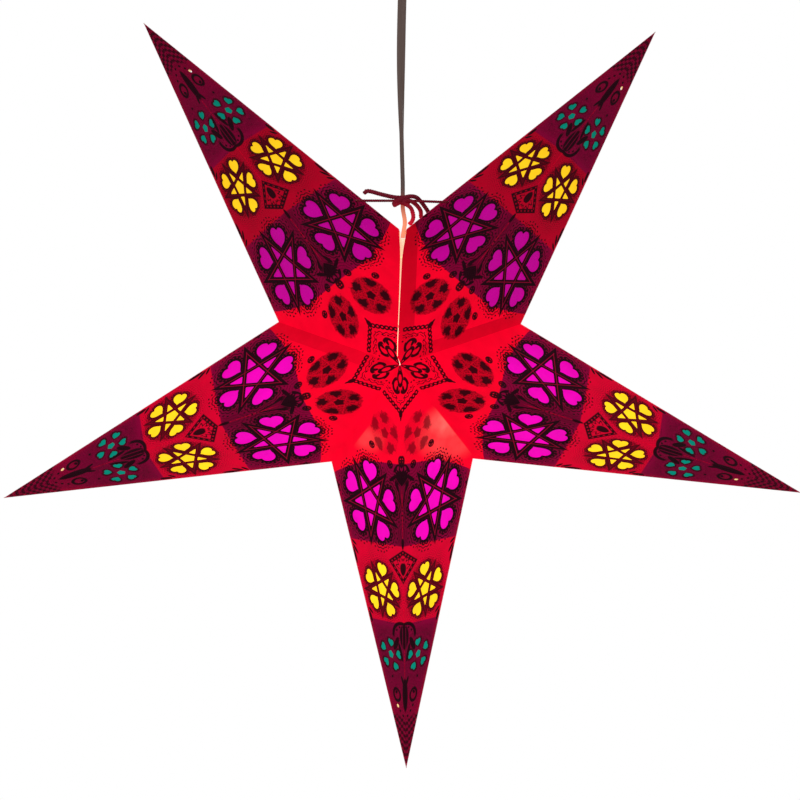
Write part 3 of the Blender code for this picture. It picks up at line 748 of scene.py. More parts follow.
def rosette_print_tree():
    """The printed lines of one rosette: its lattice, the borders of its windows and its lace."""
    nodes, given = node_group("Rosette Print", "ShaderNodeTree", {
        "Sheet": ("Vector", (0, 0, 0)),
        "Place": ("Vector", (0, 0, 0)),
        "Reach": ("Float", 30 * MM),
        "Heart Middle": ("Float", HEART_MIDDLE_SHARE),
        "Heart Scale": ("Float", 1.0),
    }, dict.fromkeys(("Ink", "Rim", "Echo", "Lace", "Lines", "Blots", "Thread", "Disc"), "Float"))
    rise, within, line, root, sine = nodes.rise, nodes.within, nodes.line, nodes.root, nodes.sine
    x, y, _ = nodes.split(nodes.vector("SUBTRACT", given["Sheet"], given["Place"]))
    x, y = x / given["Reach"], y / given["Reach"]
    radius = root(x * x + y * y)
    folded = nodes.zigzag(abs(nodes.math("ARCTAN2", y, x * -1)), math.pi / POINTS)
    along = radius * nodes.math("COSINE", folded)
    across = radius * sine(folded)
    from_heart = along - given["Heart Middle"]
    wide = across / (given["Heart Scale"] * HEART_HALF_WIDTH_SHARE)
    tall = from_heart / (given["Heart Scale"] * HEART_HEIGHT_SHARE) - root(wide) * HEART_CLEFT
    heart = (root(wide * wide + tall * tall) - 1) * HEART_HEIGHT_SHARE

    # the lattice's strips: dark, with a lighter middle line, inside the star's own outline
    strips = []
    for degrees in (36, -36, 108):
        lean = math.radians(degrees)
        strips.append(along * math.cos(lean) + across * math.sin(lean) - lattice()[0] * math.cos(math.pi / POINTS))
    base, side, _ = strips
    nearest = nodes.least(*[abs(strip) for strip in strips])
    half = LATTICE_SHARE / 2
    outline = half + STAR_RIM_SHARE
    in_star = within(side, outline, PRINT_SOFT)
    star_ink = nodes.most(within(nearest, half + 0.012, PRINT_SOFT), rise(side, half - 0.01, half)) * in_star

    # round each heart: a dark rim with beads, two scalloped lines and a row of dots
    about = nodes.math("ARCTAN2", across, from_heart)
    beads = line(heart, 0.068, 0.014, PRINT_SOFT) * rise(sine(about * 25), 0.0, 0.6)
    trim = heart - abs(sine(about * 9)) * 0.03
    rim = within(trim, 0.088, PRINT_SOFT) * (1 - beads * 0.7)
    dots = line(trim, 0.215, 0.016, PRINT_SOFT) * rise(sine(about * 31), -0.1, 0.5)
    clear = rise(side, outline + 0.01, outline + 0.03)
    echo = within(nodes.zigzag(trim, 0.034), 0.011, PRINT_SOFT)

    # the same rosette as soft blots, where it is printed small and uncut
    bleed = nodes.noise(nodes.join(x, y, 0.0), 5.0, 4.0) - 0.5
    return nodes.finished({
        "Ink": nodes.most(star_ink, rim),
        "Rim": rim,
        "Echo": echo * rise(trim, 0.255, 0.27) * rise(radius, 1.75, 1.1) * clear,
        "Lace": nodes.most(line(trim, 0.14, 0.011, PRINT_SOFT), dots) * clear,
        "Lines": within(nearest, 0.008, 0.008) * within(side, 0.02, 0.008),
        "Blots": nodes.most(within(heart + bleed * 0.45, 0.06, 0.09), within(base + bleed * 0.3, -0.02, 0.06)),
        "Thread": within(nearest, 0.006, 0.022) * in_star,
        "Disc": rise(radius + bleed * 0.25, 1.16, 1.0),
    })


# The print, in millimetres of the sheet: where its bands end, the chain round the centre, and marks on the ridge
RED_END = (74.6, 75.6)
MAROON_END = (138.2, 139.2)
CRIMSON_END = (199.5, 201)
CHAIN_PLACE = 33.0
CHAIN_RUN = (0.4535, 0.891)
CHAIN_LINK = 1.9
DIAMOND_PLACE = 161.5
LILY_PLACE = 221.5
BERRY_PLACE = (272, 10.2)
# Small oval marks of the print: middle along and across the ridge, half-lengths, lean in degrees and softness
PRINT_SPOTS = (
    # the chevron's point, and the lily round the centre with its dots
    (38.6, 0, 3.4, 2.2), (41.5, 0, 2.6, 0.9), (6.8, 1.7, 6.4, 0.8, 14), (16.2, 0, 1.5, 3.0), (20.4, 3.6, 3.4, 1.3, 14),
    (22.4, 5.0, 1.7, 1.5), (14.6, 7.6, 4.2, 1.1, 36), (24.6, 8.6, 0.8, 0.8, 0, 0.3), (21.5, 12.6, 0.8, 0.8, 0, 0.3),
    (26.8, 4.6, 0.8, 0.8, 0, 0.3), (17.5, 13.2, 0.8, 0.8, 0, 0.3),
    # the crown of the bud where the bright red ends
    (83.4, 6.6, 5.4, 1.5, 38), (92.5, 10.5, 6.2, 1.5, 52), (97.8, 6.0, 4.6, 1.6, -30), (84.0, 2.2, 5.0, 0.9, -12),
    # on the ridge, in and under the diamond
    (142.8, 0, 4.6, 1.6), (163.5, 0, 5.2, 3.6),
    # the outer lily's leaves, the leaf with its berry, and dots towards the tip
    (228.5, 10.0, 7.0, 2.3, 24), (234, 4.6, 7.5, 1.8, -18), (269, 0, 14.5, 3.3), (258, 2.6, 4.5, 1.3, -24),
    (270, 10.8, 1.9, 1.2, 40, 0.2), (284.5, 6.4, 1.1, 1.1, 0, 0.3), (281, 9.4, 1.1, 1.1, 0, 0.3),
    (287.5, 2.8, 1.1, 1.1, 0, 0.3), (258.5, 15.5, 1.1, 1.1, 0, 0.3),
    # fronds that hang from the outer edge
    (172, 60.5, 6.5, 1.4, -22), (166.5, 60, 4.6, 1.1, -48), (161.5, 62, 3.4, 1.0, -68), (217, 42, 4.5, 1.5, -24),
    (212, 41.8, 3.4, 1.0, -60), (120, 80.8, 3.5, 1.0, -24),
)
# Seeds with light grains: middle and half-lengths
PRINT_SEEDS = ((73.2, 36.4, 3.0, 3.6), (82.6, 14.2, 3.4, 3.6), (76.5, 0, 5.0, 4.0))


def valley_distance(x, y):
    """How far a place of the sheet lies from its valley crease."""
    crease = Panel(FRONT, 0, 1).notch.normalized()
    return x * abs(crease.y) - y * abs(crease.x)


def star_print_tree():
    """The print on one face of an arm, from the sheet's distances along and across its ridge, with painted shade and
    light worked into its paint and ink.
    """
    nodes, given = node_group("Star Print", "ShaderNodeTree", {
        "Sheet": ("Vector", (0, 0, 0)),
        "Bright": ("Color", (1, 0, 0, 1)),
        "Crimson": ("Color", (0.5, 0, 0, 1)),
        "Maroon": ("Color", (0.1, 0, 0, 1)),
        "Heat": ("Float", 0.0),
    }, {"Paint": "Color", "Ink": "Float", "Rim": "Float"})
    rise, within, line, most, sine, oval = nodes.rise, nodes.within, nodes.line, nodes.most, nodes.sine, nodes.oval
    panel = Panel(FRONT, 0, 1)
    x, y, _ = nodes.split(given["Sheet"])
    x, y = x / MM, y / MM
    flat = nodes.join(x, y, 0.0)
    ring = x * (TIP_RADIUS / panel.ridge_length) - y * 0.22
    edge_angle = panel.half_tip_angle * 2
    from_edge = (panel.ridge_length / MM - x) * math.sin(edge_angle) - y * math.cos(edge_angle)

    def rosette(place, reach, heart_middle=HEART_MIDDLE_SHARE, heart_scale=1.0):
        return nodes.group("Rosette Print", rosette_print_tree, {
            "Sheet": given["Sheet"],
            "Place": (*place, 0),
            "Reach": reach,
            "Heart Middle": heart_middle,
            "Heart Scale": heart_scale,
        })

    def spot(along, across, length, width, lean=0, soft=0.12):
        return within(oval(x, y, (along, across), (length, width), lean), 1, soft)

    bulge = most(y - 25, 0.0)
    red_ends = ring - bulge * bulge * 0.0034
    past_red = rise(red_ends, *RED_END)
    stipple = nodes.get("ShaderNodeTexVoronoi", {"Vector": flat, "Scale": 0.8}, feature="F1")
    fleck = within(stipple, 0.38, 0.08)
    places = [panel.on_bisector(place_share) for place_share in (*ROSETTE_PLACE_SHARES, BUD_PLACE_SHARE)]
    hearts = [(HEART_MIDDLE_SHARE, 1.0), (HEART_MIDDLE_SHARE, 1.0), (BUD_HEART_MIDDLE_SHARE, BUD_HEART_SCALE)]
    large, small, bud = [
        rosette((middle.x, abs(middle.y)), reach * ROSETTE_FILL_SHARE, *heart)
        for (middle, reach), heart in zip(places, hearts)
    ]
    blot = rosette((59.3 * MM, 20 * MM), 15.5 * MM)
    near_cuts = most(large["Disc"], small["Disc"])
    lines = most(large["Lines"], small["Lines"] * 0.4)
    # painted light: near the bulb the blot and its ground are made paler, for the bulb's glare through the card
    blot_ground = blot["Disc"] * (fleck * 0.35 + 0.55) * (1 - given["Heat"] * 0.75)
    blur = most(blot["Blots"] * (1 - given["Heat"] * 0.3), blot_ground)
    marks = [
        large["Ink"], large["Lace"], small["Ink"] * 0.86, small["Lace"] * 0.6,
        fleck * near_cuts * 0.6,
        bud["Disc"] * (fleck * 0.35 + 0.25), bud["Rim"] * 0.9, bud["Thread"] * 0.55, bud["Echo"] * 0.7,
        large["Echo"] * 0.62 * rise(ring, 139, 136) * past_red,
        small["Echo"] * 0.4 * rise(ring, 137, 139) * rise(ring, 201, 199),
        blur * (1 - blot["Thread"] * 0.8),
        *[spot(*row) for row in PRINT_SPOTS],
    ]

    # fine scribbled lines that fill the dark bands, densest towards the tip
    cloud = nodes.noise(flat, 0.16, 2.0)
    scribble = line(nodes.zigzag(cloud * 22, 1.0), 0.5, 0.13, 0.1)
    clear = 1 - most(large["Disc"], small["Disc"], bud["Disc"])
    dark_bands = rise(red_ends, 76, 80) * rise(ring, 138, 134) * 0.4 + rise(ring, 202, 206) * 0.75
    marks.append(scribble * dark_bands * clear)

    # a chain of linked rings round the centre, a chevron on each arm
    chain = x * CHAIN_RUN[1] + y * CHAIN_RUN[0] - CHAIN_PLACE
    run = y * CHAIN_RUN[1] - x * CHAIN_RUN[0] + 60
    step = nodes.zigzag(run, CHAIN_LINK)
    links = nodes.root(step * step + chain * chain)
    knots = nodes.root((step - CHAIN_LINK) * (step - CHAIN_LINK) + chain * chain)
    on_face = rise(valley_distance(x, y), 1.0, 1.6)
    marks.append(most(line(links, 1.55, 0.7, 0.2), within(knots, 1.1, 0.2)) * on_face)

    # inside it: wavy lines, and the lily's curls
    wave = sine(run * 1.1)
    waved = chain + wave * 0.7
    curl = line(oval(x, y, (17.2, 3.8), (5.6, 4.4), 20), 1, 0.24, 0.05)
    marks += [
        line(waved, -5.2, 0.38, 0.15) * on_face,
        line(waved, -7.2, 0.26, 0.12) * rise(wave, -0.9, -0.5) * on_face,
        line(oval(x, y, (11, 0), (5.0, 2.7)), 1, 0.3, 0.05),
        curl * rise(y + x * 0.35, 7.0, 8.4),
    ]

    # seeds with light grains, and a crowned bud where the bright red ends
    for along, across, length, width in PRINT_SEEDS:
        seed = oval(x, y, (along, across), (length, width))
        marks.append(within(seed, 1, 0.12) * (1 - line(seed, 0.5, 0.12, 0.1) * fleck * 0.9))
    ragged = oval(x, y, (89.5, 0), (7.2, 9.5)) + sine(x * 1.9 + y * 1.3) * 0.12
    blades = line(y, (115.5 - x) * 0.27, 0.75, 0.25)
    marks += [within(ragged, 0.9, 0.12), blades * rise(x, 93, 95) * rise(x, 116, 112)]
    jewel = spot(82.6, 4.4, 2.0, 1.0, 30) * 0.8

    # a jewelled diamond on the ridge between the small rosettes
    off_middle = abs(x - DIAMOND_PLACE) / 13.6
    diamond = off_middle + y / 17.4
    pearls = line(diamond, 0.86, 0.055, 0.03) * rise(sine((off_middle - y / 17.4) * 16), 0.0, 0.5)
    flicker = sine(nodes.math("ARCTAN2", y, x - DIAMOND_PLACE - 1) * 11)
    flames = oval(x, y, (DIAMOND_PLACE, 0), (8.4, 8.6)) + flicker * 0.16
    marks += [
        line(diamond, 0.87, 0.16, 0.04) * (1 - pearls * 0.6),
        line(flames, 0.8, 0.09, 0.05) * rise(x, 166, 163),
    ]

    # an outer lily, a ring round the berry, and zigzags at the tip
    cup = oval(x, y, (LILY_PLACE, 0), (12.5, 13.4))
    cup_beads = rise(sine(nodes.math("ARCTAN2", y, x - LILY_PLACE) * 13), 0.0, 0.5)
    hoop = oval(x, y, BERRY_PLACE, (6.2, 4.9))
    steps = nodes.zigzag(x + y * 0.55 + sine(y * 2.1) * 0.9, 2.7)
    marks += [
        line(cup, 1, 0.11, 0.03) * rise(x, 226, 222),
        line(cup, 0.78, 0.06, 0.02) * cup_beads * rise(x, 222, 220),
        spot(220, 0, 10.5, 5.6) * (1 - line(y, 2.0, 0.45, 0.2) * 0.6),
        line(hoop, 0.82, 0.22, 0.08) * rise(x - BERRY_PLACE[0] + y * 0.5, -2.5, 0.5),
        line(hoop, 0.82, 0.14, 0.08),
        rise(steps, 1.0, 1.5) * rise(x, 288, 291) * rise(x, 329, 325) * 0.9,
    ]

    paint = nodes.mix(past_red, given["Bright"], given["Maroon"])
    # painted shade: the maroon band is darker near the ridge, and slightly darker round the large rosette
    ridge_shade_and_halo = within(y, 9, 9) * rise(ring, 80, 88) * 0.35 + large["Disc"] * 0.12
    paint = nodes.tint(paint, 1 - ridge_shade_and_halo * past_red)
    paint = nodes.mix(rise(ring, *MAROON_END), paint, given["Crimson"])
    paint = nodes.tint(paint, 1 - small["Disc"] * 0.35)
    paint = nodes.mix(rise(ring, *CRIMSON_END), paint, given["Maroon"])
    paint = nodes.mix(rise(ring, 252, 258) * 0.12, paint, given["Crimson"])
    # painted light: a band along the outer edge, past the bright red, is made lighter towards crimson
    paint = nodes.mix(within(from_edge, 3.0, 3.0) * rise(ring, 76, 90) * 0.3, paint, given["Crimson"])
    paint = nodes.mix(lines * 0.35, paint, given["Crimson"])
    fold_line = within(y, 0.3, 0.5) * rise(ring, 92, 100) * rise(ring, 262, 240)
    return nodes.finished({
        "Paint": nodes.mix(fold_line * 0.35, paint, given["Bright"]),
        "Ink": most(*marks) * (1 - most(jewel, lines)),
        # the thin band along the outer edge that takes a painted highlight
        "Rim": within(from_edge, 0.7, 0.5),
    })


# Where a painted glare of the bulb washes the lowest arm's faces out to pale, in millimetres from the star's centre as
# the viewer sees them:
# middle, half-lengths, the share of the oval at full strength, and the strength
HOT_SPOTS = ((33, -47, 21, 18, 0.1, 1.0), (36, -57, 30, 22, 0.5, 0.32), (-25, -58, 16, 13, 0.2, 0.3))
LOW_VALLEY_ANGLE = math.radians(-54)


def lamp_glow_tree():
    """The bulb's light at a place, the lampholder's shade over it, and where it is near enough for a painted glare that
    washes the paper and its print out to pale.
    """
    nodes, given = node_group("Lamp Glow", "ShaderNodeTree", {
        "Place": ("Vector", (0, 0, 0)),
        "Reach": ("Float", LAMP_REACH),
    }, dict.fromkeys(("Glow", "Shade", "Bleach", "Heat"), "Float"))
    aside, _, height = nodes.split(nodes.vector("SUBTRACT", given["Place"], tuple(STAR_CENTRE)))
    offset = nodes.vector("SUBTRACT", given["Place"], tuple(STAR_CENTRE + Vector((0, 0, BULB_MIDDLE))))
    distance = nodes.length(offset)
    _, _, above = nodes.split(offset)
    fall = distance / given["Reach"]
    # painted glare: pale ovals of the bulb's light on the lowest arm, cut off at the doubled flap band
    hot = nodes.most(*[
        nodes.rise(nodes.oval(aside, height, (x * MM, z * MM), (wide * MM, tall * MM)), 1.0, full) * strength
        for x, z, wide, tall, full, strength in HOT_SPOTS
    ])
    from_valley = abs(aside) * -math.sin(LOW_VALLEY_ANGLE) + height * math.cos(LOW_VALLEY_ANGLE)
    clear = from_valley - nodes.math("GREATER_THAN", aside, 0.0) * FLAP_SHADE_SHIFT
    return nodes.finished({
        "Glow": nodes.math("DIVIDE", 1.0, fall * fall + 1),
        "Shade": nodes.rise(above / distance, -0.15, 0.75),
        "Bleach": hot * nodes.rise(clear, -7.6 * MM, -8.6 * MM),
        # a mask for painted glare below the lowest valley, near the bulb
        "Heat": nodes.rise(from_valley, -1 * MM, -3 * MM) * nodes.rise(distance, 0.11, 0.08),
    })


def mouth_light_tree():
    """Light that spills from the star's mouth at the top notch; the card takes it as painted shade where the lampholder
    stands near.
    """
    nodes, given = node_group("Mouth Light", "ShaderNodeTree", {
        "Place": ("Vector", (0, 0, 0)),
        "Reach": ("Float", FLEX_MOUTH_REACH),
    }, {"Light": "Float"})
    offset = nodes.vector("SUBTRACT", given["Place"], tuple(STAR_CENTRE + Vector((0, 0, NOTCH_RADIUS))))
    return nodes.finished({"Light": nodes.rise(nodes.length(offset) / given["Reach"], 1.0, 0.1)})


def paper_grain_tree():
    """Cloudy fibres of paper: a height for the bump, and a mottle for its light."""
    nodes, given = node_group("Paper Grain", "ShaderNodeTree", {
        "Place": ("Vector", (0, 0, 0)),
        "Fibre Scale": ("Float", 1400.0),
        "Cloud Scale": ("Float", 90.0),
    }, {"Height": "Float", "Mottle": "Float"})
    fibre = nodes.noise(given["Place"], given["Fibre Scale"], 4.0)
    cloud = nodes.noise(given["Place"], given["Cloud Scale"], 5.0)
    crumple = nodes.noise(given["Place"], 22.0, 2.0)
    return nodes.finished({
        "Height": fibre * 0.35 + cloud * 0.5 + crumple,
        "Mottle": nodes.rise(cloud + fibre * 0.2, 0.25, 0.95),
    })


def paper(nodes, bump, roughness):
    """A paper's mottle, the lamp's light on it, and the values that all the papers share."""
    place = nodes.object_place()
    grain = nodes.group("Paper Grain", paper_grain_tree, {"Place": place})
    lamp = nodes.group("Lamp Glow", lamp_glow_tree, {"Place": place})
    return grain["Mottle"], lamp, {
        "Normal": nodes.bump(grain["Height"], bump, 0.4 * MM),
        "Roughness": nodes.rise(grain["Mottle"], -0.5, 1.5) * 0.2 + (roughness - 0.1),
        "Emission Strength": 1.0,
    }


def printed_card(nodes):
    card = bpy.context.scene.paper_star_card
    sheet = nodes.sheet_place()
    mottle, lamp, shared = paper(nodes, 0.25, 0.62)
    printed = nodes.group("Star Print", star_print_tree, {
        "Sheet": nodes.vector("MULTIPLY", sheet, (1, 1, 0)),
        "Bright": card.bright,
        "Crimson": nodes.tint(card.crimson, 1 - lamp["Shade"] * 0.36),
        "Heat": lamp["Heat"],
        "Maroon": card.maroon,
    })
    x, y, flap = nodes.split(sheet)
    # painted shade: near the mouth the lampholder stands between bulb and card, so the light through the card, and more
    # so through its doubled flap, is cut by the mouth's nearness
    mouth = nodes.group("Mouth Light", mouth_light_tree, {"Place": nodes.object_place(), "Reach": CARD_MOUTH_REACH})
    doubled = flap * nodes.within(valley_distance(x, y), FLAP_WIDTH, 0.15 * MM)
    doubled = doubled * (lamp["Shade"] * 0.5 + mouth["Light"] * 0.12 + 0.06)
    bare = 1 - printed["Ink"]
    paint = nodes.mix(printed["Ink"], nodes.tint(printed["Paint"], card.print_share), card.ink)
    # painted highlight: a pale pinkish line along the outer edge, broken up by the paper's mottle
    edge_highlight = printed["Rim"] * nodes.rise(mottle, 0.2, 0.7) * 0.55
    through = lamp["Glow"] * card.glow * (1 - lamp["Shade"] * 0.14) * (1 - mouth["Light"] * 0.25)
    through = through * (bare * 0.96 + 0.04) * (1 - doubled) * (mottle * 0.3 + 0.85)
    lit = nodes.tint(printed["Paint"], through)
    # painted glare: near the bulb a pale warm colour is added to the light through the bare card
    glare_patch = nodes.tint((0.30, 0.15, 0.11), lamp["Bleach"] * bare * (mottle * 0.6 + 0.5))
    return shared | {
        "Base Color": nodes.mix(edge_highlight, paint, (0.42, 0.10, 0.17)),
        "Emission Color": nodes.mix(1.0, lit, glare_patch, "ADD"),
        "Specular IOR Level": 0.02,
    }


def card_inside(nodes):
    scene = bpy.context.scene
    mottle, lamp, shared = paper(nodes, 0.2, 0.75)
    return shared | {
        "Base Color": nodes.tint(scene.paper_star_card.inside, mottle * 0.12 + 0.9),
        "Emission Color": nodes.tint(scene.paper_star_lamp.warm, lamp["Glow"] * 0.55),
        "Specular IOR Level": 0.1,
    }


def lit_tissue(nodes):
    tissue = bpy.context.scene.paper_star_tissue
    x, _, _ = nodes.split(nodes.sheet_place())
    mottle, lamp, shared = paper(nodes, 0.35, 0.6)
    outer = nodes.math("GREATER_THAN", x, YELLOW_START)
    paint = nodes.mix(outer, tissue.magenta, tissue.yellow)
    paint = nodes.mix(nodes.math("GREATER_THAN", x, TEAL_START), paint, tissue.teal)
    through = lamp["Glow"] * tissue.glow * (mottle * 0.25 + 0.9)
    through = through * (1 - lamp["Shade"] * (0.62 - outer * 0.42)) * (outer * 0.75 + 1)
    # painted glare: near the bulb the tissue's light is mixed towards pinkish white
    glare_patch = lamp["Bleach"] * mottle * 0.4
    return shared | {
        "Base Color": nodes.tint(paint, 0.3),
        "Emission Color": nodes.mix(glare_patch, nodes.tint(paint, through), (1.0, 0.62, 0.9)),
        "Specular IOR Level": 0.03,
    }


def moulded(nodes, paint, roughness, coat):
    """Moulded plastic or glazed ceramic, with faint flow marks, and the bulb's light painted on as a warm glow where
    the bulb is near.
    """
    place = nodes.object_place()
    flow = nodes.noise(place, 260.0, 3.0)
    lamp = nodes.group("Lamp Glow", lamp_glow_tree, {"Place": place, "Reach": INNER_LAMP_REACH})
    return {
        "Base Color": nodes.tint(paint, nodes.noise(place, 35.0, 2.0) * 0.16 + 0.9),
        "Roughness": flow * 0.14 + (roughness - 0.07),
        "Normal": nodes.bump(flow, 0.12, 0.3 * MM),
        "Emission Color": nodes.tint(bpy.context.scene.paper_star_lamp.warm, lamp["Glow"]),
        "Emission Strength": 1.0,
        "Coat Weight": coat,
    }


def ivory_plastic(nodes):
    return moulded(nodes, bpy.context.scene.paper_star_lamp.ivory, 0.4, 0.0)


def white_ceramic(nodes):
    return moulded(nodes, bpy.context.scene.paper_star_lamp.ceramic, 0.3, 0.4)


def flex_sheath(nodes):
    place = nodes.object_place()
    drawn = nodes.noise(nodes.vector("MULTIPLY", place, (900, 900, 60)), 1.0, 3.0)
    scuff = nodes.noise(place, 420.0, 4.0)
    paint = nodes.tint(bpy.context.scene.paper_star_cord.sheath, drawn * 0.3 + 0.85)
    mouth = nodes.group("Mouth Light", mouth_light_tree, {"Place": place})
    glow = nodes.mix(mouth["Light"], (0.5, 0.035, 0.05), (1.0, 0.29, 0.14))
    return {
        "Base Color": nodes.mix(nodes.rise(scuff, 0.6, 0.75) * 0.15, paint, (0.13, 0.10, 0.085)),
        "Roughness": scuff * 0.2 + 0.42,
        "Normal": nodes.bump(drawn + scuff * 0.4, 0.25, 0.2 * MM),
        "Emission Color": nodes.tint(glow, mouth["Light"]),
        "Emission Strength": 0.9,
        "Specular IOR Level": 0.25,
    }


def tie_string(nodes):
    place = nodes.object_place()
    fibre = nodes.noise(place, 2600.0, 4.0)
    dye = nodes.noise(place, 160.0, 2.0)
    mouth = nodes.group("Mouth Light", mouth_light_tree, {"Place": place, "Reach": STRING_MOUTH_REACH})
    return {
        "Base Color": nodes.tint(bpy.context.scene.paper_star_cord.string, fibre * 0.7 + dye * 0.8 + 0.25),
        "Roughness": fibre * 0.2 + 0.7,
        "Normal": nodes.bump(fibre, 0.6, 0.3 * MM),
        "Emission Color": nodes.tint((0.95, 0.006, 0.03), mouth["Light"] * (dye + 0.4)),
        "Emission Strength": 0.75,
        "Specular IOR Level": 0.1,
    }


def plated_brass(nodes):
    haze = nodes.noise(nodes.object_place(), 300.0, 4.0)
    return {
        "Base Color": nodes.tint(bpy.context.scene.paper_star_lamp.brass, haze * 0.4 + 0.75),
        "Roughness": haze * 0.3 + 0.15,
        "Metallic": 1.0,
    }


def lit_glass(nodes):
    lamp = bpy.context.scene.paper_star_lamp
    place = nodes.object_place()
    _, _, height = nodes.split(place)
    frost = nodes.noise(place, 700.0, 2.0)
    hot = nodes.line(height, STAR_CENTRE.z + BULB_MIDDLE, 10 * MM, 12 * MM)
    return {
        "Base Color": nodes.tint((0.95, 0.92, 0.85), frost * 0.1 + 0.9),
        "Roughness": frost * 0.2 + 0.25,
        "Emission Color": nodes.mix(hot, lamp.warm, (1.0, 0.93, 0.75)),
        "Emission Strength": lamp.power,
    }


def pale_floor(nodes):
    speck = nodes.noise(nodes.object_place(), 60.0, 3.0)
    return {"Base Color": nodes.tint(bpy.context.scene.paper_star_stage.floor, speck * 0.05 + 0.975), "Roughness": 0.8}


def made_mesh(name, bm, material, sharp_degrees):
    """The mesh of a closed shape, with outward faces, smooth but at its sharp edges."""
    bmesh.ops.recalc_face_normals(bm, faces=bm.faces)
    mesh = bpy.data.meshes.new(name)
    bm.to_mesh(mesh)
    bm.free()
    mesh.shade_smooth()
    mesh.set_sharp_from_angle(angle=math.radians(sharp_degrees))
    mesh.materials.append(material)
    return mesh


def lathe(name, profile, material, closed, thread):
    """A smooth solid of revolution about the hanging line, from radii and heights above the star's centre."""
    bm = bmesh.new()
    rings = []
    for radius, height in profile:
        if radius < TINY:
            rings.append([bm.verts.new((0, 0, height))])
            continue
        ring = []
        for step in range(TURN_STEPS):
            angle = math.tau * step / TURN_STEPS
            reach = radius + (thread(angle, radius, height) if thread else 0)
            ring.append(bm.verts.new((reach * math.cos(angle), reach * math.sin(angle), height)))
        rings.append(ring)
    ends = rings[1:] + rings[:1] if closed else rings[1:]
    for first, second in zip(rings, ends):
        for step in range(TURN_STEPS):
            corners = []
            for ring, place in ((first, step), (first, step + 1), (second, step + 1), (second, step)):
                corner = ring[place % len(ring)]
                if corner not in corners:
                    corners.append(corner)
            bm.faces.new(corners)
    bmesh.ops.translate(bm, verts=bm.verts, vec=STAR_CENTRE)
    return made_mesh(name, bm, material, 32)


def turned(name, profile, maker, body, node, closed=True, thread=None):
    """A lathed piece in place of one CAD node."""
    mesh = lathe(name, profile, finish(maker), closed, thread)
    return piece(mesh, body, [node])


def eased(profile, radius, closed=True):
    """The profile with its corners rounded by short curves."""
    count = len(profile)
    points = [Vector(place) for place in profile]
    soft = []
    for place, corner in enumerate(points):
        if not closed and place in (0, count - 1):
            soft.append(tuple(corner))
            continue
        before, after = points[place - 1] - corner, points[(place + 1) % count] - corner
        start = corner + before.normalized() * min(radius, before.length * EASE_SHARE)
        end = corner + after.normalized() * min(radius, after.length * EASE_SHARE)
        for t in EASE_STEPS:
            soft.append(tuple(start * (1 - t) ** 2 + corner * (2 * t * (1 - t)) + end * t * t))
    return soft


def smooth_route(points, step):
    """Points at even steps along a smooth curve through given points."""
    padded = [2 * points[0] - points[1], *points, 2 * points[-1] - points[-2]]
    dense = []
    for before, start, end, after in zip(padded, padded[1:], padded[2:], padded[3:]):
        count = max(1, round((end - start).length / step))
        for n in range(count):
            t = n / count
            dense.append(
                (2 * start + (end - before) * t + (2 * before - 5 * start + 4 * end - after) * t * t
                 + (3 * start - before - 3 * end + after) * t ** 3) / 2
            )
    return dense + [points[-1]]


def laid_string_tree():
    """Geometry nodes that lay strands round a route, as a twisted string."""
    nodes, given = node_group("Laid String", "GeometryNodeTree", {
        "Route": ("Geometry", None),
        "String Radius": ("Float", STRING_RADIUS),
        "Strands": ("Int", 3),
        "Lay": ("Float", 5 * MM),
        "Step": ("Float", LAY_STEP),
        "Finish": ("Material", None),
    }, {"String": "Geometry"})
    line = nodes.geometry("MeshToCurve", {"Mesh": given["Route"]})
    line = nodes.geometry("ResampleCurve", {"Curve": line, "Length": given["Step"]}, mode="LENGTH")
    copies = nodes.add("GeometryNodeDuplicateElements", {"Geometry": line, "Amount": given["Strands"]}, domain="SPLINE")
    along = nodes.geometry("SplineParameter", output=1)
    phase = Term(nodes, copies.outputs["Duplicate Index"]) / given["Strands"]
    out = nodes.get("ShaderNodeVectorRotate", {
        "Vector": nodes.geometry("InputNormal"),
        "Center": (0, 0, 0),
        "Axis": nodes.geometry("InputTangent"),
        "Angle": (along / given["Lay"] + phase) * math.tau,
    }, rotation_type="AXIS_ANGLE")
    strand = given["String Radius"] * STRAND_SHARE
    shift = given["String Radius"] - strand
    offset = nodes.vector("MULTIPLY", out, nodes.join(shift, shift, shift))
    moved = nodes.geometry("SetPosition", {"Geometry": copies.outputs["Geometry"], "Offset": offset})
    ring = nodes.polygon(STRAND_SIDES, strand)
    tube = nodes.geometry("CurveToMesh", {"Curve": moved, "Profile Curve": ring, "Fill Caps": True})
    tube = nodes.geometry("RealizeInstances", {"Geometry": tube})
    tube = nodes.geometry("SetMaterial", {"Geometry": tube, "Material": given["Finish"]})
    return nodes.finished({"String": tube})


def laid_string(name, points, radius, body, node):
    """One string of the tie along its route."""
    cord = bpy.context.scene.paper_star_cord
    route = bpy.data.meshes.new("route")
    route.from_pydata([tuple(point) for point in points], [(n, n + 1) for n in range(len(points) - 1)], [])
    made = evaluated(route, made_before("Laid String", laid_string_tree), {
        "String Radius": radius,
        "Strands": cord.strands,
        "Lay": cord.lay,
        "Step": LAY_STEP,
        "Finish": finish(tie_string),
    })
    mesh = one_mesh(name, [made], Matrix.Translation(STAR_CENTRE))
    mesh.shade_smooth()
    return piece(mesh, body, [node])


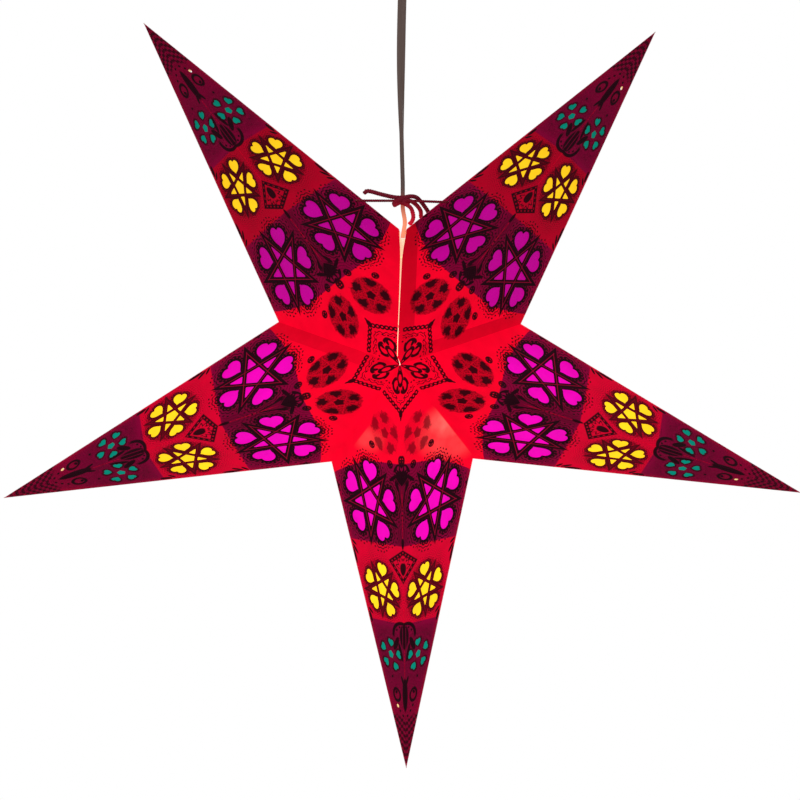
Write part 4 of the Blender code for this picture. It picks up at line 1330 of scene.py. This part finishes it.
def tie_side_route(arm, half):
    """A string looped through the seam arm's two holes, its ends at the knot in front and behind."""
    panel = Panel(FRONT, arm, half)
    hole = panel.frame @ panel.tie_hole().to_3d() - STAR_CENTRE
    outer = -hole.y + TIE_CLEARANCE + STRING_RADIUS
    start = Vector((math.copysign(TIE_START, hole.x), -TIE_SPREAD, TIE_HEIGHT))
    over_edge = hole.lerp(start, TIE_EDGE_SHARE)
    over_edge.y = -outer
    corner = hole.copy()
    corner.y = -outer
    passing = Vector((hole.x, -abs(hole.y) * TIE_PASS_SHARE, hole.z))
    front = [start, over_edge, corner.lerp(over_edge, TIE_BEND_SHARE), passing]
    back = [Vector((place.x, -place.y, place.z)) for place in reversed(front)]
    return smooth_route(front + back, STRING_STEP)


def tie_bow_route():
    """The tail, the turns and the knot round the flex, the hanging loop and the curled end, as one string."""
    tail = [
        (-29, -6.5, 5.4), (-27.6, -6.9, 7.0), (-24.5, -7.3, 7.0), (-16.5, -7.5, 4.8), (-9, -7.0, 3.0),
        (-5.2, -5.8, 2.4),
    ]
    knot = [
        (4.4, -6.2, -1.6), (0.5, -8.0, -1.0), (-3.6, -8.0, -2.0), (-6.4, -7.4, -3.6), (-6.0, -7.6, -0.8),
        (-2.2, -9.4, 0.6), (2.4, -8.6, 2.6),
    ]
    loop = [
        (6.6, -6.6, 3.2), (10.4, -3.0, 2.4), (13.8, 1.2, -0.8), (17, 4.4, -5), (19.4, 6.8, -9), (18.6, 9.3, -12.8),
        (15.8, 9.3, -14), (13.8, 6.8, -12), (13.6, 3.2, -8), (11.2, -1.4, -4.2), (7.4, -5.8, -1.0), (3.2, -9.0, 0.2),
    ]
    curl = [
        (0.2, -9.8, -1.6), (3.2, -8.8, -3.2), (6.0, -7.6, -5.4), (7.6, -7.0, -9.2), (8.0, -6.8, -13), (6.8, -6.6, -16),
        (5.0, -6.5, -17.8),
    ]
    height = Vector((0, 0, TIE_HEIGHT))
    turns = []
    for step in range(KNOT_STEPS + 1):
        part = step / KNOT_STEPS
        angle = KNOT_START_ANGLE + (KNOT_END_ANGLE - KNOT_START_ANGLE) * part
        across = Vector((KNOT_HALF_WIDTH * math.sin(angle), -KNOT_HALF_DEPTH * math.cos(angle), 0))
        turns.append(height + across + Vector((0, 0, KNOT_DROP * (0.5 - part))))
    before = [height + Vector(place) * MM for place in tail]
    after = [height + Vector(place) * MM for place in (*knot, *loop, *curl)]
    return smooth_route(before + turns + after, STRING_STEP)


def flex_section():
    """The rim of the twin flex: two round cores with a waist between."""
    core = FLEX_THICKNESS / 2
    middle = FLEX_WIDTH / 2 - core
    angles = [math.radians(degrees) for degrees in range(-75, 76, 15)]
    right = [Vector((middle + core * math.cos(angle), core * math.sin(angle))) for angle in angles]
    dip = ((0.35, 0.85), (0, FLEX_WAIST_SHARE), (-0.35, 0.85))
    waist = [Vector((middle * along, core * depth)) for along, depth in dip]
    return right + waist + [-point for point in right] + [-point for point in waist]


def flex_place(height):
    """The flex's middle and its twist at a height above the star's centre."""
    part = min(1, max(0, (height - FLEX_TURN_BOTTOM) / (FLEX_TURN_TOP - FLEX_TURN_BOTTOM)))
    bow = 0
    if height > FLEX_CUT:
        bow = FLEX_BOW * math.sin(math.pi * (height - FLEX_CUT) / (FLEX_TOP - FLEX_CUT))
    if height < MOUTH_BEND_TOP:
        bow = MOUTH_BEND * math.sin(math.pi * (height - FLEX_BOTTOM) / (MOUTH_BEND_TOP - FLEX_BOTTOM)) ** 2
    return Vector((bow, 0, height)) + STAR_CENTRE, (1 - part) * math.pi / 2


def flex_mesh():
    """The flat flex from the lampholder to the ceiling rose, and the line that it follows."""
    count = round((FLEX_TOP - FLEX_BOTTOM) / FLEX_STEP)
    section = flex_section()
    bm = bmesh.new()
    rings, path = [], []
    for n in range(count + 1):
        middle, twist = flex_place(FLEX_BOTTOM + (FLEX_TOP - FLEX_BOTTOM) * n / count)
        turn = Matrix.Rotation(twist, 2)
        rings.append([bm.verts.new(middle + (turn @ point).to_3d()) for point in section])
        path.append(tuple(middle))
    for lower, upper in zip(rings, rings[1:]):
        for n in range(len(section)):
            bm.faces.new((lower[n - 1], lower[n], upper[n], upper[n - 1]))
    bm.faces.new(rings[0])
    bm.faces.new(rings[-1])
    return made_mesh("flat_flex", bm, finish(flex_sheath), 50), path


class PAPERSTAR_OT_stage(bpy.types.Operator):
    """Make the camera, the soft lights, the white surroundings and the pale floor"""

    bl_idname = "paper_star.stage"
    bl_label = "Stage"

    def execute(self, context):
        scene = context.scene
        stage = scene.paper_star_stage
        scene.view_settings.view_transform = "Standard"
        lens = bpy.data.cameras.new("Photograph")
        lens.lens = lens.sensor_width * stage.distance / VIEW_WIDTH
        camera = bpy.data.objects.new("Photograph", lens)
        aim = Matrix.Rotation(stage.bearing, 4, "Z") @ Matrix.Rotation(-stage.rise, 4, "X")
        camera.location = VIEW_CENTRE + aim @ Vector((0, -stage.distance, 0))
        camera.rotation_euler = (math.pi / 2 - stage.rise, 0, stage.bearing)
        scene.collection.objects.link(camera)
        scene.camera = camera

        world = bpy.data.worlds.new("White Surroundings")
        world.use_nodes = True
        nodes = Nodes(world.node_tree)
        nodes.tree.nodes.clear()
        rays = nodes.add("ShaderNodeLightPath")
        kinds = ("Camera", "Glossy", "Transmission")
        seen = nodes.most(*[Term(nodes, rays.outputs[f"Is {kind} Ray"]) for kind in kinds])
        even = nodes.get("ShaderNodeBackground", {"Color": (1, 1, 1), "Strength": stage.ambient})
        white = nodes.get("ShaderNodeBackground", {"Color": (1, 1, 1), "Strength": 1.0})
        shown = nodes.get("ShaderNodeMixShader", {0: seen, 1: even, 2: white})
        nodes.add("ShaderNodeOutputWorld", {"Surface": shown})
        scene.world = world

        for name, place, wide, power_share in LAMPS:
            lamp = bpy.data.lights.new(name, "AREA")
            lamp.size = wide
            lamp.energy = stage.key * power_share
            light = bpy.data.objects.new(name, lamp)
            light.location = place
            light.rotation_euler = (STAR_CENTRE - Vector(place)).to_track_quat("-Z", "Y").to_euler()
            scene.collection.objects.link(light)

        bm = bmesh.new()
        bmesh.ops.create_circle(bm, cap_ends=True, segments=96, radius=FLOOR_RADIUS)
        bmesh.ops.translate(bm, verts=bm.verts, vec=(0, 0, -FLOOR_DROP))
        mesh = bpy.data.meshes.new("floor")
        bm.to_mesh(mesh)
        bm.free()
        made = finish(pale_floor)
        nodes = Nodes(made.node_tree)
        far = nodes.length(nodes.vector("MULTIPLY", nodes.object_place(), (1, 1, 0)))
        fade = nodes.rise(far, *FLOOR_FADE) * nodes.get("ShaderNodeLightPath", output="Is Camera Ray")
        glow = nodes.get("ShaderNodeEmission", {"Color": (1, 1, 1), "Strength": 1.0})
        plain = nodes.tree.nodes["Principled BSDF"].outputs[0]
        blend = nodes.get("ShaderNodeMixShader", {0: fade, 1: plain, 2: glow})
        nodes.feed(nodes.tree.nodes["Material Output"].inputs["Surface"], blend)
        mesh.materials.append(made)
        floor = bpy.data.objects.new("floor", mesh)
        scene.collection.objects.link(floor)
        return {"FINISHED"}


class PAPERSTAR_OT_rose(bpy.types.Operator):
    """Make the ceiling rose: plate, cup, cord gland and terminal block"""

    bl_idname = "paper_star.rose"
    bl_label = "Ceiling Rose"

    def execute(self, context):
        def lifted(profile):
            return [(radius, height - STAR_CENTRE.z) for radius, height in profile]

        def dome(radius, bottom):
            points = [(radius, -ROSE_RIM_DROP)]
            for n in range(ROSE_STEPS + 1):
                angle = math.pi / 2 * n / ROSE_STEPS
                points.append((
                    ROSE_FLAT + (radius - ROSE_FLAT) * math.cos(angle),
                    -ROSE_SIDE + (bottom + ROSE_SIDE) * math.sin(angle),
                ))
            return points + [(ROSE_HOLE, bottom)]

        cup = dome(ROSE_RADIUS, -ROSE_DEPTH) + dome(ROSE_RADIUS - ROSE_WALL, ROSE_WALL - ROSE_DEPTH)[::-1]
        turned("rose_cup_shell", lifted(cup), ivory_plastic, "rose", "rose_cup")
        shank, flange, top = 5 * MM, 7.5 * MM, -ROSE_DEPTH - GAP
        foot = top - 6 * MM
        gland = eased([
            (0, top + shank), (shank, top + shank), (shank, top), (flange, top),
            (flange, foot + 2.5 * MM), (shank, foot), (0, foot),
        ], 0.5 * MM, closed=False)
        turned("rose_gland_body", lifted(gland), ivory_plastic, "rose", "rose_cord_gland", closed=False)
        for node, maker in (("ceiling_plate", ivory_plastic), ("terminal_block", white_ceramic)):
            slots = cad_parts[node].material_slots
            for place in range(len(slots)):
                slots[place].material = finish(maker)
        return {"FINISHED"}


class PAPERSTAR_OT_flex(bpy.types.Operator):
    """Make the flat flex from the ceiling rose to the lampholder"""

    bl_idname = "paper_star.flex"
    bl_label = "Flex"

    def execute(self, context):
        mesh, path = flex_mesh()
        flex = piece(mesh, None, ["flex_upper", "flex_lower"])
        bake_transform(flex)
        return {"FINISHED"}


class PAPERSTAR_OT_lampholder(bpy.types.Operator):
    """Make the lampholder: cord grip, cap, skirt and contact insert"""

    bl_idname = "paper_star.lampholder"
    bl_label = "Lampholder"

    def execute(self, context):
        # radii and heights above the star's centre, in millimetres
        for name, node, maker, closed, soft, outline in (
            ("cord_grip_nut", "holder_cord_grip", ivory_plastic, False, 0.4, (
                (0, 91), (3.5, 91), (4.5, 90), (4.5, 79.6), (6, 79.6), (6, 77), (3.5, 77), (3.5, 73.7), (0, 73.7),
            )),
            ("holder_cap_shell", "holder_cap", ivory_plastic, True, 0.4, (
                (3.8, 76.7), (8, 76.7), (12.4, 74), (14, 70.4), (14, 44), (12.8, 44), (12.8, 69.2),
                (11.2, 72.8), (6.8, 75.5), (3.8, 75.5),
            )),
            ("holder_skirt_shell", "holder_skirt", ivory_plastic, True, 0.3, (
                (14.4, 43.7), (14.4, 27.2), (13.2, 26), (8.7, 26), (8.7, 27.2), (13.2, 27.2), (13.2, 43.7),
            )),
            ("contact_insert", "holder_insert", white_ceramic, False, 0.4, (
                (0, 67), (12.5, 67), (12.5, 29), (7.5, 29), (7.5, 50.5), (0, 50.5),
            )),
        ):
            profile = eased([(radius * MM, height * MM) for radius, height in outline], soft * MM, closed)
            turned(name, profile, maker, "lamp", node, closed=closed)
        return {"FINISHED"}


class PAPERSTAR_OT_bulb(bpy.types.Operator):
    """Make the lit bulb and its screwed cap"""

    bl_idname = "paper_star.bulb"
    bl_label = "Bulb"

    def execute(self, context):
        base, wall, contact, top, bottom = 6.9 * MM, 0.8 * MM, 2.5 * MM, 47 * MM, 23.5 * MM
        thread_top, thread_bottom, mouth = top - 4.4 * MM, bottom + 4 * MM, 40 * MM
        steps = 64
        tip = top + 1.8 * MM
        outer = [(0, tip), (contact, tip), (contact, top)]
        outer += [(base, thread_top - (thread_top - bottom) * n / steps) for n in range(steps + 1)]
        inner = [(base - wall, bottom), (base - wall, thread_top), (contact, top - wall), (0, top - wall)]

        def thread(angle, radius, height):
            """A rolled screw thread on the outer wall."""
            if radius < base or not thread_bottom < height < thread_top - MM:
                return 0
            return -THREAD_HALF_DEPTH * (1 - math.cos(angle + math.tau * height / THREAD_PITCH))

        turned("bulb_screw_cap", outer + inner, plated_brass, "bulb", "bulb_base", False, thread)

        def face(radius, throat):
            """The neck and the globe of one face of the glass, from its mouth to its foot."""
            globe = []
            for n in range(GLOBE_STEPS + 1):
                angle = GLOBE_START_ANGLE + (math.pi - GLOBE_START_ANGLE) * n / GLOBE_STEPS
                globe.append((radius * math.sin(angle), BULB_MIDDLE + radius * math.cos(angle)))
            globe[-1] = (0, BULB_MIDDLE - radius)
            start = Vector(globe[0])
            shoulder = Vector((throat, bottom - GAP))
            corner = Vector((throat, start.y + 4 * MM))
            bend = []
            for n in range(1, NECK_STEPS):
                t = n / NECK_STEPS
                bend.append(tuple(shoulder * (1 - t) ** 2 + corner * (2 * t * (1 - t)) + start * t * t))
            return [(throat, mouth), tuple(shoulder)] + bend + globe

        neck = base - wall - GAP
        glass = face(BULB_SPHERE_RADIUS - BULB_GLASS, neck - BULB_GLASS)[::-1] + face(BULB_SPHERE_RADIUS, neck)
        turned("lit_globe", glass, lit_glass, "bulb", "bulb_glass", False)
        return {"FINISHED"}


class PAPERSTAR_OT_card(bpy.types.Operator):
    """Make the star's twenty faces of printed card, with their cut windows and glue flaps"""

    bl_idname = "paper_star.card"
    bl_label = "Printed Card"

    def execute(self, context):
        card = context.scene.paper_star_card
        finishes = (finish(printed_card), finish(card_inside))
        for panel in all_panels():
            valley = LIP_INSET[panel.side] if panel.at_seam else VALLEY_INSET
            apex, notch, tip = panel.outline(RIDGE_INSET, valley, EDGE_INSET)
            trim = [apex + (corner - apex).normalized() * APEX_TRIM for corner in (tip, notch)]
            lips = SEAM_LIPS[panel.side, panel.half] if panel.at_seam else ()
            lips = [panel.on_valley(place, valley - past * MM) for place, past in lips]
            cuts = {}
            for label, place in zip(CUTS, (*ROSETTE_PLACE_SHARES, BUD_PLACE_SHARE)):
                middle, reach = panel.on_bisector(place)
                cuts |= cut(label, middle, reach * ROSETTE_FILL_SHARE)
            if panel.half == 1:
                cuts |= cut("Tip Hole", panel.on_bisector(TIP_HOLE_PLACE_SHARE)[0], TIP_HOLE_RADIUS)
            if panel.at_seam:
                cuts |= cut("Tie Hole", panel.tie_hole(), TIE_HOLE_RADIUS)
            outline = [*trim, *lips, notch, tip]
            parts = [cut_sheet(panel, outline, card.thickness, 0.0, finishes, cuts, float(panel.has_flap))]
            if panel.has_flap:
                length = panel.notch.length
                spans = ((FLAP_END, valley), (FLAP_END + FLAP_SLANT, FLAP_WIDTH))
                strip = [panel.on_valley(along / length, inward) for along, inward in spans]
                strip += [panel.on_valley(1 - along / length, inward) for along, inward in reversed(spans)]
                under = -card.thickness - FLAP_GAP
                parts.append(cut_sheet(panel, strip, card.thickness - FLAP_GAP, under, finishes, {}, 1.0))
            piece(one_mesh(f"{panel.name}_print", parts, panel.frame), panel.name, [panel.name])
        return {"FINISHED"}


class PAPERSTAR_OT_tissue(bpy.types.Operator):
    """Make the coloured tissue glued behind the windows"""

    bl_idname = "paper_star.tissue"
    bl_label = "Tissue"

    def execute(self, context):
        top = -context.scene.paper_star_card.thickness - TISSUE_GAP
        finishes = (finish(lit_tissue),) * 2
        margins = (TISSUE_RIDGE_MARGIN, FLAP_WIDTH + TISSUE_GLUE_MARGIN, TISSUE_EDGE_MARGIN)
        for panel in all_panels():
            inner, at_notch, at_tip = panel.outline(*margins)
            end = panel.ridge_length * (1 - TISSUE_END_SHARE)
            ends = [start.lerp(at_tip, (end - start.x) / (at_tip.x - start.x)) for start in (at_notch, inner)]
            hole = cut("Tie Hole", panel.tie_hole(), TIE_HOLE_RADIUS + TISSUE_HOLE_ROOM) if panel.at_seam else {}
            made = cut_sheet(panel, [inner, at_notch, *ends], TISSUE, top, finishes, hole)
            mesh = one_mesh(f"{panel.name}_lit_tissue", [made], panel.frame)
            piece(mesh, panel.name, [f"{panel.name}_tissue"])
        return {"FINISHED"}


class PAPERSTAR_OT_tie(bpy.types.Operator):
    """Make the string tie: a loop through each seam arm and a bow round the flex"""

    bl_idname = "paper_star.tie"
    bl_label = "String Tie"

    def execute(self, context):
        for name, arm, half, body, node in (
            ("right_tie_string", 0, 0, "upper_right_arm_front_ccw", "tie_right"),
            ("left_tie_string", ARMS - 1, 1, "upper_left_arm_front_cw", "tie_left"),
        ):
            laid_string(name, tie_side_route(arm, half), STRING_RADIUS, body, node)
        laid_string("bow_string", tie_bow_route(), BOW_RADIUS, "tie", "tie_bow")
        return {"FINISHED"}


class PAPERSTAR_PT_lantern(bpy.types.Panel):
    """Sizes and colours of the lantern, and its pieces"""

    bl_idname = "PAPERSTAR_PT_lantern"
    bl_label = "Paper Star"
    bl_space_type = "VIEW_3D"
    bl_region_type = "UI"
    bl_category = "Paper Star"

    def draw(self, context):
        for name, group in SETTINGS.items():
            box = self.layout.box()
            for key in group.__annotations__:
                box.prop(getattr(context.scene, name), key)
        for operator in OPERATORS:
            self.layout.operator(operator.bl_idname)


SETTINGS = {
    "paper_star_card": PaperStarCard,
    "paper_star_tissue": PaperStarTissue,
    "paper_star_cord": PaperStarCord,
    "paper_star_lamp": PaperStarLamp,
    "paper_star_stage": PaperStarStage,
}
OPERATORS = (
    PAPERSTAR_OT_stage, PAPERSTAR_OT_rose, PAPERSTAR_OT_flex, PAPERSTAR_OT_lampholder, PAPERSTAR_OT_bulb,
    PAPERSTAR_OT_card, PAPERSTAR_OT_tissue, PAPERSTAR_OT_tie,
)


def register():
    for made in (*SETTINGS.values(), *OPERATORS, PAPERSTAR_PT_lantern):
        bpy.utils.register_class(made)
    for name, group in SETTINGS.items():
        setattr(bpy.types.Scene, name, PointerProperty(type=group))


def unregister():
    for name in SETTINGS:
        delattr(bpy.types.Scene, name)
    for made in (PAPERSTAR_PT_lantern, *reversed(OPERATORS), *reversed(SETTINGS.values())):
        bpy.utils.unregister_class(made)


def main():
    register()
    bpy.ops.paper_star.stage()
    bpy.ops.paper_star.rose()
    bpy.ops.paper_star.flex()
    bpy.ops.paper_star.lampholder()
    bpy.ops.paper_star.bulb()
    bpy.ops.paper_star.card()
    bpy.ops.paper_star.tissue()
    bpy.ops.paper_star.tie()


if __name__ == "__main__":
    main()
